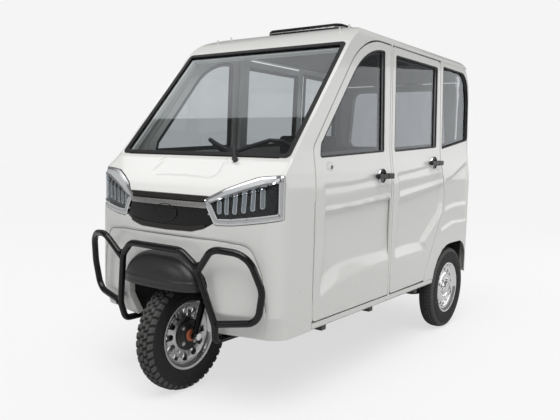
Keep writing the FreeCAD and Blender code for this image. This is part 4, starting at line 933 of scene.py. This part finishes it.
guard = {
    "radius": 16,
    "frame": ((300, -60, 318, 0), (304, -104, 318, 30), (316, -124, 398, 90), (242, -172, 661, 90),
              (166, -190, 726, 75), (-166, -190, 726, 75), (-242, -172, 661, 90), (-316, -124, 398, 90),
              (-304, -104, 318, 30), (-300, -60, 318, 0)),
    "loop": ((250, -168, 640, 0), (352, -192, 752, 70), (508, -138, 738, 110), (554, -92, 580, 110),
             (526, -82, 436, 75), (312, -124, 402, 0)),
    "foot": ((300, -60, 318), (300, 62, 318), (300, 300, 318)),
    "bead": ((-5, 0), (-5, 15), (-2, 18), (2, 18), (5, 15), (5, 0)),
    "beads": {"655": (257, -173, 665), "405": (329, -126, 405)}}


def makeGuard():
    section = circle(guard["radius"], 24)
    pieces = []
    for name, key, side in (("guardFrame", "frame", 1), ("guardLoop", "loop", 1), ("guardLoopRight", "loop", -1)):
        route = np.array(guard[key], float) * (side, 1, 1, 1) * mm
        pieces.append(swept(name, rounded(route[:, :3], route[:, 3], 10), section, "tube"))
    for side in (-1, 1):
        foot = np.array(guard["foot"], float) * (side, 1, 1) * mm
        pieces.append(swept(f"guardFoot{side + 1}", foot, section, "tube", (0, 0, 1)))
        for label, (x, y, z) in guard["beads"].items():
            pieces.append(turned(f"guardWeld{side + 1}_{label}", guard["bead"], (x * side, y, z), "tube", 24))
    show("body", "guard_tube", *pieces, replaced=["bumper_guard"])


# Lamps and grille. A layer is its depth, thickness, material and grid step.

lampShape = {
    "outline": ((-584, 1072, 8), (-465, 1060, 70), (-381, 1029, 70), (-315, 1000, 60), (-232, 952, 14),
                (-258, 905, 24), (-293, 842, 22), (-378, 846, 50), (-452, 856, 50), (-584, 880, 8)),
    "strips": ((-520, 1010, 930), (-478, 1010, 918), (-436, 1004, 908), (-394, 992, 900), (-354, 974, 896),
               (-318, 950, 896)),
    "stripHalf": 7}
grilleShape = {
    "upperBar": ((-256, 968, 5), (-252, 946, 5), (252, 946, 5), (256, 968, 5)),
    "secondBar": ((-250, 940, 5), (-248, 914, 6), (248, 914, 6), (250, 940, 5)),
    "panel": ((-252, 970, 6), (-255, 896, 8), (-287, 850, 9), (-235, 822, 45), (-168, 805, 45), (0, 801, 0),
              (168, 805, 45), (235, 822, 45), (287, 850, 9), (255, 896, 8), (252, 970, 6)),
    "lip": ((-280, 848, 8), (-235, 822, 40), (-168, 806, 40), (0, 802, 0), (168, 806, 40), (235, 822, 40),
            (280, 848, 8), (160, 829, 60), (0, 824, 0), (-160, 829, 60)),
    "badge": (75, 40, 882)}


def makeHeadlamps():
    outline = noseOutline(lampShape["outline"])
    middle, inner, lens = grown(outline, -8 * mm), grown(outline, -24 * mm), grown(outline, -29 * mm)
    layers = (("Housing", grown(outline, 2 * mm), [], 26, 4, "grilleBlack", 8),
              ("Rim", grown(outline, -1 * mm), [middle], 1.5, 8, "chrome", 3),
              ("Band", grown(middle, 1 * mm), [inner], 5, 6, "lampBand", 4),
              ("Ring", grown(inner, 1 * mm), [lens], 2.5, 10, "chrome", 2.5),
              ("Glass", grown(lens, 2 * mm), [], 5, 2, "lampCover", 8))
    half = lampShape["stripHalf"]
    for mirror, tag in ((False, "Right"), (True, "Left")):
        pieces = [noseSheet(f"lamp{label}{tag}", *layer, mirror) for label, *layer in layers]
        for i, (x, top, low) in enumerate(lampShape["strips"]):
            strip = noseOutline(rectangle(x - half, low, x + half, top, 5), 5)
            rim = grown(strip, 4 * mm)
            pieces.append(noseSheet(f"lampStrip{tag}{i}", strip, [], 17, 6, "led", 4, mirror))
            pieces.append(noseSheet(f"lampStripRim{tag}{i}", rim, [strip], 13, 8, "chrome", 2.5, mirror))
        show("body", "lamp_cover", *pieces, replaced=["headlamps"] if mirror else [])


def makeGrille():
    layers = (("grillePanel", "panel", 9, 8, "grilleBlack"), ("grilleUpper", "upperBar", 2, 6, "grille"),
              ("grilleSecond", "secondBar", 4, 5, "brightTrim"), ("grilleLip", "lip", 3, 6, "grille"))
    panel, upper, second, lip = (noseSheet(name, noseOutline(grilleShape[key]), [], deep, thick, material, 4)
                                 for name, key, deep, thick, material in layers)
    show("body", "grille_plastic", panel, lip, replaced=["grille_panel"])
    show("body", "bright_trim", upper, second, replaced=["grille_bars"])
    angle = np.linspace(0, 2 * math.pi, 64, endpoint=False)
    halfWidth, halfHeight, height = grilleShape["badge"]
    oval = ontoNose(np.stack([halfWidth * np.cos(angle), height + halfHeight * np.sin(angle)], 1) * mm)
    rim = noseSheet("badgeRim", oval, [grown(oval, -4 * mm)], 3.5, 6, "grille", 2.5)
    badge = noseSheet("badge", grown(oval, -3 * mm), [], 5.5, 4, "grilleBlack")
    show("body", "grille_plastic", rim, badge)


# Seals and inner frames round the panes, and the strips behind the door gaps

jambs = {"front": (243.5, 254.5, 1190), "middle": (1018, 1052, 1766)}


def makeSeals():
    for end, corners in windows.items():
        window = roundedOutline(corners, 9)
        rings = (("sealOuter", window, grown(window, -9 * mm), 2 * mm, 7 * mm, "seal"),
                 ("frameInner", grown(window, -1 * mm), grown(window, -24 * mm), 22 * mm, 8 * mm, "darkPlastic"))
        for side in ("left", "right"):
            for label, outer, inner, depth, thick, material in rings:
                ring = sheet(f"{label}_{end}_{side}", outer, [inner], sidePlace(depth), material, thick, 5 * mm,
                             side == "right")
                show("body" if end == "quarter" else f"{end}_{side}_door", "seal_rubber", ring)
    for end, (front, rear, top) in jambs.items():
        for side in ("left", "right"):
            strip = roundedOutline(rectangle(front, 384, rear, top, 0), 3)
            piece = sheet(f"jamb_{end}_{side}", strip, [], sidePlace(4 * mm), "paint", 6 * mm, 3.4 * mm,
                          side == "right")
            show("body", "body_paint", piece)


# Door handles, the round mark on the front doors, and the mudguard. A bar is its reach from the skin to its inner
# and outer face, its two ends as (0 for the handle's front or 1 for its rear, offset), and its reach down and up.

handleShape = {
    "reach": 32,
    "keyReach": 21,
    "barEdge": 4.5,
    "bars": ((14, 30, (0, 4), (1, -6), 11, 11), (11, 32, (0, 0), (0, 52), 15, 14),
             (11, 32, (1, -66), (1, 0), 15, 15), (-2, 18, (0, 14), (0, 36), 9, 9),
             (-2, 18, (1, -38), (1, -14), 9, 9)),
    "cup": ((-3, 0), (-1, 20), (2, 31), (5, 35), (6.5, 37.5), (5, 40), (0, 41), (-3, 41), (-3, 0)),
    "key": ((0, 0), (0, 9), (6, 9), (7, 8), (7, 5), (4, 4), (4, 0)),
    "mark": ((-2, 0), (-2, 31), (0.6, 31), (1.6, 29), (1.6, 27), (0.8, 25.5), (1.5, 24), (1.9, 0)),
    "markPlace": (377, 1101)}


# A chrome cup, a bar on two feet with thick ends, and a key barrel at its rear end
def makeHandles():
    for end in ("front", "rear"):
        for side, sign in (("left", 1), ("right", -1)):
            tag = f"{end}_{side}"
            node = f"door_{tag}_handle"
            low, high = (np.array(corner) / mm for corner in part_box(node))
            skin = max(abs(low[0]), abs(high[0])) - handleShape["reach"]
            front, rear = low[1] - axleY / mm, high[1] - axleY / mm
            z = (low[2] + high[2]) / 2
            cup = turned("handleCup_" + tag, handleShape["cup"], (sign * skin, (front + rear) / 2, z), "chrome", 64,
                         side=sign)
            pieces = []
            for i, (inner, outer, start, stop, below, above) in enumerate(handleShape["bars"]):
                xs = sorted((sign * (skin + inner), sign * (skin + outer)))
                ys = [(front, rear)[anchor] + offset for anchor, offset in (start, stop)]
                pieces.append(block(f"handleBar_{tag}_{i}", (xs[0], ys[0], z - below), (xs[1], ys[1], z + above),
                                    "darkGloss", handleShape["barEdge"]))
            key = turned("handleKey_" + tag, handleShape["key"],
                         (sign * (skin + handleShape["keyReach"]), rear - 1, z), "chrome", 32, (0, 1, 0))
            show(f"{tag}_door", "handle_plastic", cup, key, *pieces, replaced=[node])
    y, z = handleShape["markPlace"]
    skin = float(sectionWidth(np.array([z * mm]))[0]) / mm
    for side, sign in (("left", 1), ("right", -1)):
        mark = turned("doorMark_" + side, handleShape["mark"], (sign * skin, y, z), "paint", 64, side=sign)
        lock = turned("doorLock_" + side, handleShape["key"], (sign * (skin - 3), y + 14, z + 5), "steel", 24,
                      side=sign)
        show(f"front_{side}_door", "body_paint", mark, lock)


mudguard = {
    "half": 238 * mm,
    "low": 557 * mm,
    "height": 143 * mm,
    "back": -130 * mm,
    "front": -140 * mm,
    "reach": 76 * mm,
    "lip": 18 * mm,
    "band": 2.5 * mm,
    "bandHeight": 24 * mm,
    "topPower": 2.6,
    "frontPower": 3,
    "thickness": 3 * mm,
    "edge": 0.8 * mm}


# A hood: across it the height and reach die away as superellipses, and each slice is a quarter ellipse
def makeMudguard():
    across = np.sin(np.linspace(-1, 1, 121) * math.pi / 2)[None]
    phase = np.linspace(0, math.pi / 2, 44)[:, None]
    top = mudguard["height"] * np.sqrt(1 - np.abs(across) ** mudguard["topPower"])
    front = mudguard["front"] - mudguard["reach"] * np.sqrt(1 - np.abs(across) ** mudguard["frontPower"])
    y = mudguard["back"] - (mudguard["back"] - front) * np.cos(phase)
    z = mudguard["low"] + top * np.sin(phase)
    y = y - mudguard["band"] * (1 - rise(z - mudguard["low"] - mudguard["bandHeight"], 5 * mm))
    y = np.concatenate([y[:1] + 1 * mm, y[:1] - 1 * mm, y])
    z = np.concatenate([z[:1] - mudguard["lip"], z[:1] - 2 * mm, z])
    x = np.broadcast_to(across * mudguard["half"], y.shape)
    faces = gridFaces(*y.shape, False, False)
    hood = makeMesh("mudguardHood", np.stack([x, y, z], -1).reshape(-1, 3), faces, "mudguard", True)
    thicken(hood, mudguard["thickness"], mudguard["edge"])
    show("body", "dark_plastic", hood, replaced=["front_mudguard"])


trim = {
    "grooveShadeLow": 352 * mm,
    "strip": ((-264, 953, 1886), (264, 953, 1886), (264, 1217, 1886), (-264, 1217, 1886)),
    "stripSection": ((-1.2, -2.5), (1.2, -2.5), (1.2, 2.5), (-1.2, 2.5)),
    "liner": (-498, 712, 498, 2020, 20),
    "linerHole": (-236, 981, 236, 1189, 30),
    "linerCrown": ((0, 1807), (233, 1807), (340, 1802.5), (447, 1788), (520, 1775)),
    "grooveShadeRadius": 1.6,
    "grooveShadeSink": 0.8 * mm,
    "stripBend": 52 * mm,
    "pod": ((-88, 122, 1096), (88, 206, 1152)),
    "face": ((-74, 200, 1104), (74, 208, 1144))}


# A dark line of painted shade in the nose's groove, the strip round the hatch's lid, a dark headliner that is partly
# painted shade, and the instruments
def makeTrim():
    outline = panelOutline()
    outline = np.roll(outline, -int(np.argmin(outline[:, 1])), axis=0)
    line = outline[outline[:, 1] > trim["grooveShadeLow"]]
    length = np.concatenate([[0], np.cumsum(np.linalg.norm(np.diff(line, axis=0), axis=1))])
    at = np.linspace(0, length[-1], 400)
    u, v = np.interp(at, length, line[:, 0]), np.interp(at, length, line[:, 1])
    # A dark grey rod sunk in the groove: painted shade along the gap between the panels
    depth = noseShape["grooveDepth"] + noseShape["stepDepth"] / 2 - trim["grooveShadeSink"]
    route = np.stack(nosePlace(depth)(u, v), 1)
    show("body", "body_paint", swept("noseGrooveShade", route, circle(trim["grooveShadeRadius"], 8), "grooveShade", (0.1, 1, 0.1)))
    ring = rounded(np.array(trim["strip"], float) * mm, np.full(4, trim["stripBend"]), 12)
    section = np.array(trim["stripSection"]) * mm
    show("roof_hatch_lid", "bright_trim", swept("hatchStrip", ring, section, "silver", (0, 0, 1), True))
    # The dark headliner under the roof: partly a real liner, partly painted shade in the top of the cabin
    region, opening = (roundedOutline(rectangle(*trim[key])) for key in ("liner", "linerHole"))
    crown = curve(trim["linerCrown"], 30)
    liner = sheet("headlinerShade", region, [opening], lambda u, v: (u, v, crown(np.abs(u))), "headlinerShade", 4 * mm,
                  20 * mm)
    pod = block("instrumentPod", *trim["pod"], "dash", 12)
    face = block("instrumentFace", *trim["face"], "lens", 3)
    show("body", "dash_plastic", liner, pod, face)


# Cushions: each starts as a rounded block a little too small, and cloth under pressure swells it

cushions = {
    "driverSeat": {"kind": "driver", "low": (-207, 694, 705), "high": (207, 997, 787)},
    "driverBack": {"kind": "driver", "low": (-201, 1007, 706), "high": (201, 1088, 1284)},
    "benchSeat": {"kind": "bench", "low": (-448, 1604, 705), "high": (448, 1942, 787)},
    "benchBack": {"kind": "bench", "low": (-442, 1952, 706), "high": (442, 2033, 1234)}}
padding = {
    "driver": {"node": "driver_seat_pads", "material": "leather", "slot": "driver_leather", "channel": 70 * mm,
               "voxel": 7 * mm, "cap": 13 * mm},
    "bench": {"node": "bench_pads", "material": "fabric", "slot": "bench_fabric", "channel": 150 * mm,
              "voxel": 9 * mm, "cap": 15 * mm}}
swelling = {"pressure": 4.0, "frames": 20, "foot": 6 * mm, "edge": 26}
sewing = {"depth": 7 * mm, "width": 5 * mm, "crossPlaces": (-0.09, 0.09), "crossDepth": 4 * mm,
          "crossWidth": 4.5 * mm}


# The mesh with all its modifiers, as new data
def evaluated(target):
    graph = bpy.context.evaluated_depsgraph_get()
    return bpy.data.meshes.new_from_object(target.evaluated_get(graph))


# One vector of each item of a mesh's collection, as rows
def vectors(values, name):
    flat = np.empty(len(values) * 3)
    values.foreach_get(name, flat)
    return flat.reshape(-1, 3)


# Remesh evenly, let cloth under pressure swell it with its foot held, and limit how far a point moves
def swell(target, voxel, cap):
    modifier(target, "REMESH", mode="VOXEL", voxel_size=voxel, use_smooth_shade=True)
    mesh = evaluated(target)
    target.modifiers.clear()
    target.data = mesh
    before = vectors(mesh.vertices, "co")
    held = target.vertex_groups.new(name="held")
    held.add(np.flatnonzero(before[:, 2] < before[:, 2].min() + swelling["foot"]).tolist(), 1.0, "REPLACE")
    cloth = target.modifiers.new("Cloth", "CLOTH").settings
    cloth.quality = 5
    cloth.use_pressure = True
    cloth.uniform_pressure_force = swelling["pressure"]
    cloth.effector_weights.gravity = 0.0
    cloth.vertex_group_mass = "held"
    for step in range(1, swelling["frames"] + 1):
        bpy.context.scene.frame_set(step)
    moved = vectors(evaluated(target).vertices, "co") - before
    length = np.linalg.norm(moved, axis=1, keepdims=True)
    moved *= np.minimum(1, cap / np.maximum(length, 1e-9))
    target.modifiers.clear()
    bpy.context.scene.frame_set(1)
    mesh.vertices.foreach_set("co", (before + moved).ravel())
    mesh.update()


# Pull the surface in along two channels lengthwise, and two shorter ones across the part between them
def sew(target, channel):
    mesh = target.data
    normals, places = vectors(mesh.vertex_normals, "vector"), vectors(mesh.vertices, "co")
    depth = np.zeros(len(places))
    for line in (-channel, channel):
        depth += sewing["depth"] * np.exp(-((places[:, 0] - line) / sewing["width"]) ** 2)
    along = 1 if "Seat" in target.name else 2
    run = places[:, along] - places.mean(0)[along]
    for line in sewing["crossPlaces"]:
        bell = np.exp(-((run - line) / sewing["crossWidth"]) ** 2)
        depth += sewing["crossDepth"] * bell * (np.abs(places[:, 0]) < channel)
    mesh.vertices.foreach_set("co", (places - normals * depth[:, None]).ravel())
    mesh.update()


def makeCushions():
    for name, cushion in cushions.items():
        kind = padding[cushion["kind"]]
        pad = block(name, cushion["low"], cushion["high"], kind["material"], swelling["edge"])
        swell(pad, kind["voxel"], kind["cap"])
        modifier(pad, "SUBSURF", levels=1, render_levels=1)
        mesh = evaluated(pad)
        pad.modifiers.clear()
        pad.data = mesh
        sew(pad, kind["channel"])
        smooth(mesh)
        print(name, "swollen,", len(mesh.polygons), "faces")
        show("body", kind["slot"], pad, replaced=[kind["node"]] if name.endswith("Seat") else [])


# Softened copies of the plain pieces: material and edge radius, and a second material where a test of the faces'
# centres, with y from the front axle, says so

plainPieces = {
    "chassis_frame": ("framePaint", 3), "floor_pan": ("floorMat", 2), "sills": ("paint", 3),
    "a_pillars": ("paint", 2), "b_pillars": ("paint", 2), "roof_panel": ("paint", 3), "rear_panel": ("paint", 3),
    "fixed_glass": ("glass", 0), "windshield_seal": ("seal", 3), "wheel_liners": ("liner", 2),
    "dashboard": ("dash", 12), "seat_frames": ("framePaint", 3), "rear_axle": ("framePaint", 3),
    "leaf_springs": ("steel", 1),
    "battery_box": ("battery", 4), "roof_hatch_frame": ("seal", 3), "wiper": ("darkPlastic", 1),
    "tail_lamps": ("redLens", 2), "hinges": ("paint", 0.5), "fork": ("tube", 2), "handlebar": ("darkPlastic", 2),
    "hatch_lid": ("tube", 4), "tailgate": ("paint", 3), "tailgate_glass": ("glass", 0),
    **{f"door_{end}_{side}_glass": ("glass", 0) for side in ("left", "right") for end in ("front", "rear")}}
secondMaterials = {
    "fixed_glass": ("windshield", lambda c: c[:, 1] < 1.0),
    "fork": ("chrome", lambda c: (np.abs(c[:, 0]) > 92.5 * mm) & (c[:, 2] < 0.32))}


# A merged copy of a node's mesh with round edges and smooth faces
def softCopy(node, material, edge, angle=32):
    source = bpy.data.objects[node]
    mesh = source.data.copy()
    mesh.transform(source.matrix_world)
    copy = addObject(node + "_soft", mesh)
    work = bmesh.new()
    work.from_mesh(mesh)
    bmesh.ops.remove_doubles(work, verts=work.verts, dist=0.00002)
    bmesh.ops.dissolve_limit(work, angle_limit=math.radians(1), verts=work.verts, edges=work.edges)
    work.to_mesh(mesh)
    work.free()
    mesh.materials.clear()
    mesh.materials.append(paints[material])
    smooth(mesh)
    mesh.set_sharp_from_angle(angle=math.radians(angle))
    return softEdges(copy, edge * mm, angle) if edge else copy


def makePlainPieces():
    slots = {row["node"]: row["material_slot"] for row in frame["record"]["subparts"]}
    for node, (material, edge) in plainPieces.items():
        copy = softCopy(node, material, edge)
        if node in secondMaterials:
            second, test = secondMaterials[node]
            copy.data.materials.append(paints[second])
            centres = vectors(copy.data.polygons, "center") - [0, axleY, 0]
            copy.data.polygons.foreach_set("material_index", test(centres).astype(int))
        show(body_of(frame["nodes"][node])[0], slots[node], copy, replaced=[node])


# Stage, light and camera. A box is a lamp's name, place, size, power and target.

studio = {
    "floorColour": rgb(0.25, 0.25, 0.25),
    "floorGlow": rgb(0.662, 0.662, 0.662),
    "floorBounce": rgb(0.55, 0.55, 0.55),
    "floorSize": 60.0,
    "worldLight": rgb(0.30, 0.30, 0.30),
    "worldGloss": rgb(0.20, 0.20, 0.20),
    "backdrop": rgb(0.913, 0.913, 0.913),
    "sunPower": 2.47,
    "sunAngle": 50.0,
    "sunTurn": (22.3, 15.7, 0.0),
    "boxes": (("Side", (4.4, 2.6, 1.75), (9.0, 1.5), 55, (0.6, 0.4, 0.8)),
              ("Front", (-1.4, -5.0, 2.6), (2.4, 0.35), 14, (0, -1, 0.9)),
              ("Top", (-2.45, -0.70, 4.2), (3.5, 0.64), 15, (-2.45, -0.70, 0.0)))}
camera = {
    "place": (2.1537, -2.1769, 1.1783),
    "yaw": 36.06,
    "pitch": 5.38,
    "roll": 1.42,
    "lens": 40.55}


# To the camera the floor glows like a backdrop with a shadow on it; all other rays meet a plain grey
def makeFloor():
    graph = Graph("Floor")
    seen = graph.node("ShaderNodeLightPath", {}, {}, "Is Camera Ray")
    bright = graph.shader("BsdfPrincipled", Base_Color=studio["floorColour"], Roughness=0.9, Specular_IOR_Level=0.0,
                          Emission_Color=studio["floorGlow"], Emission_Strength=1.0)
    dim = graph.shader("BsdfPrincipled", Base_Color=studio["floorBounce"], Roughness=0.9, Specular_IOR_Level=0.0)
    half = studio["floorSize"] / 2
    mesh = bpy.data.meshes.new("Floor")
    mesh.from_pydata([(-half, -half, 0), (half, -half, 0), (half, half, 0), (-half, half, 0)], [], [(0, 1, 2, 3)])
    mesh.materials.append(graph.finish(graph.blend(seen, dim, bright)))
    addObject("Floor", mesh)


# One grey lights the scene; the camera and the reflections each see a grey of their own
def makeWorld():
    world = bpy.data.worlds.new("Studio")
    bpy.context.scene.world = world
    world.use_nodes = True
    tree = world.node_tree
    tree.nodes.clear()
    path = tree.nodes.new("ShaderNodeLightPath")
    shown = None
    for key, test in (("worldLight", None), ("worldGloss", "Is Glossy Ray"), ("backdrop", "Is Camera Ray")):
        sky = tree.nodes.new("ShaderNodeBackground")
        sky.inputs[0].default_value = studio[key]
        if shown is None:
            shown = sky
            continue
        mixed = tree.nodes.new("ShaderNodeMixShader")
        for i, socket in enumerate((path.outputs[test], shown.outputs[0], sky.outputs[0])):
            tree.links.new(socket, mixed.inputs[i])
        shown = mixed
    output = tree.nodes.new("ShaderNodeOutputWorld")
    tree.links.new(shown.outputs[0], output.inputs[0])


def makeLamps():
    sun = bpy.data.lights.new("Sun", "SUN")
    sun.energy = studio["sunPower"]
    sun.angle = math.radians(studio["sunAngle"])
    addObject("Sun", sun).rotation_euler = [math.radians(a) for a in studio["sunTurn"]]
    for name, place, size, power, target in studio["boxes"]:
        light = bpy.data.lights.new(name, "AREA")
        light.shape = "RECTANGLE"
        light.size, light.size_y = size
        light.energy = power
        lamp = addObject(name, light)
        lamp.location = place
        lamp.rotation_euler = (Vector(target) - Vector(place)).to_track_quat("-Z", "Y").to_euler()


# Turned by yaw about the vertical, tipped down by pitch from level, and rolled about its own view
def makeCamera():
    yaw, pitch, roll = (math.radians(camera[key]) for key in ("yaw", "pitch", "roll"))
    turn = Matrix.Rotation(yaw, 4, "Z") @ Matrix.Rotation(math.pi / 2 - pitch, 4, "X") @ Matrix.Rotation(roll, 4, "Z")
    data = bpy.data.cameras.new("Camera")
    data.lens = camera["lens"]
    seen = addObject("Camera", data)
    seen.matrix_world = Matrix.Translation(Vector(camera["place"]) + Vector((0, axleY, 0))) @ turn
    bpy.context.scene.camera = seen


makeFloor()
makeWorld()
makeLamps()
makeCamera()
bpy.context.scene.view_settings.view_transform = "Standard"
print("stage made")
makeSides()
makeNose()
print("painted sheets made")
makeWheels()
makeGuard()
makeHeadlamps()
makeGrille()
makeSeals()
makeHandles()
makeMudguard()
makeTrim()
print("wheels, guard, lamps and seals made")
makePlainPieces()
print("plain pieces made")
makeCushions()
print("cushions made")
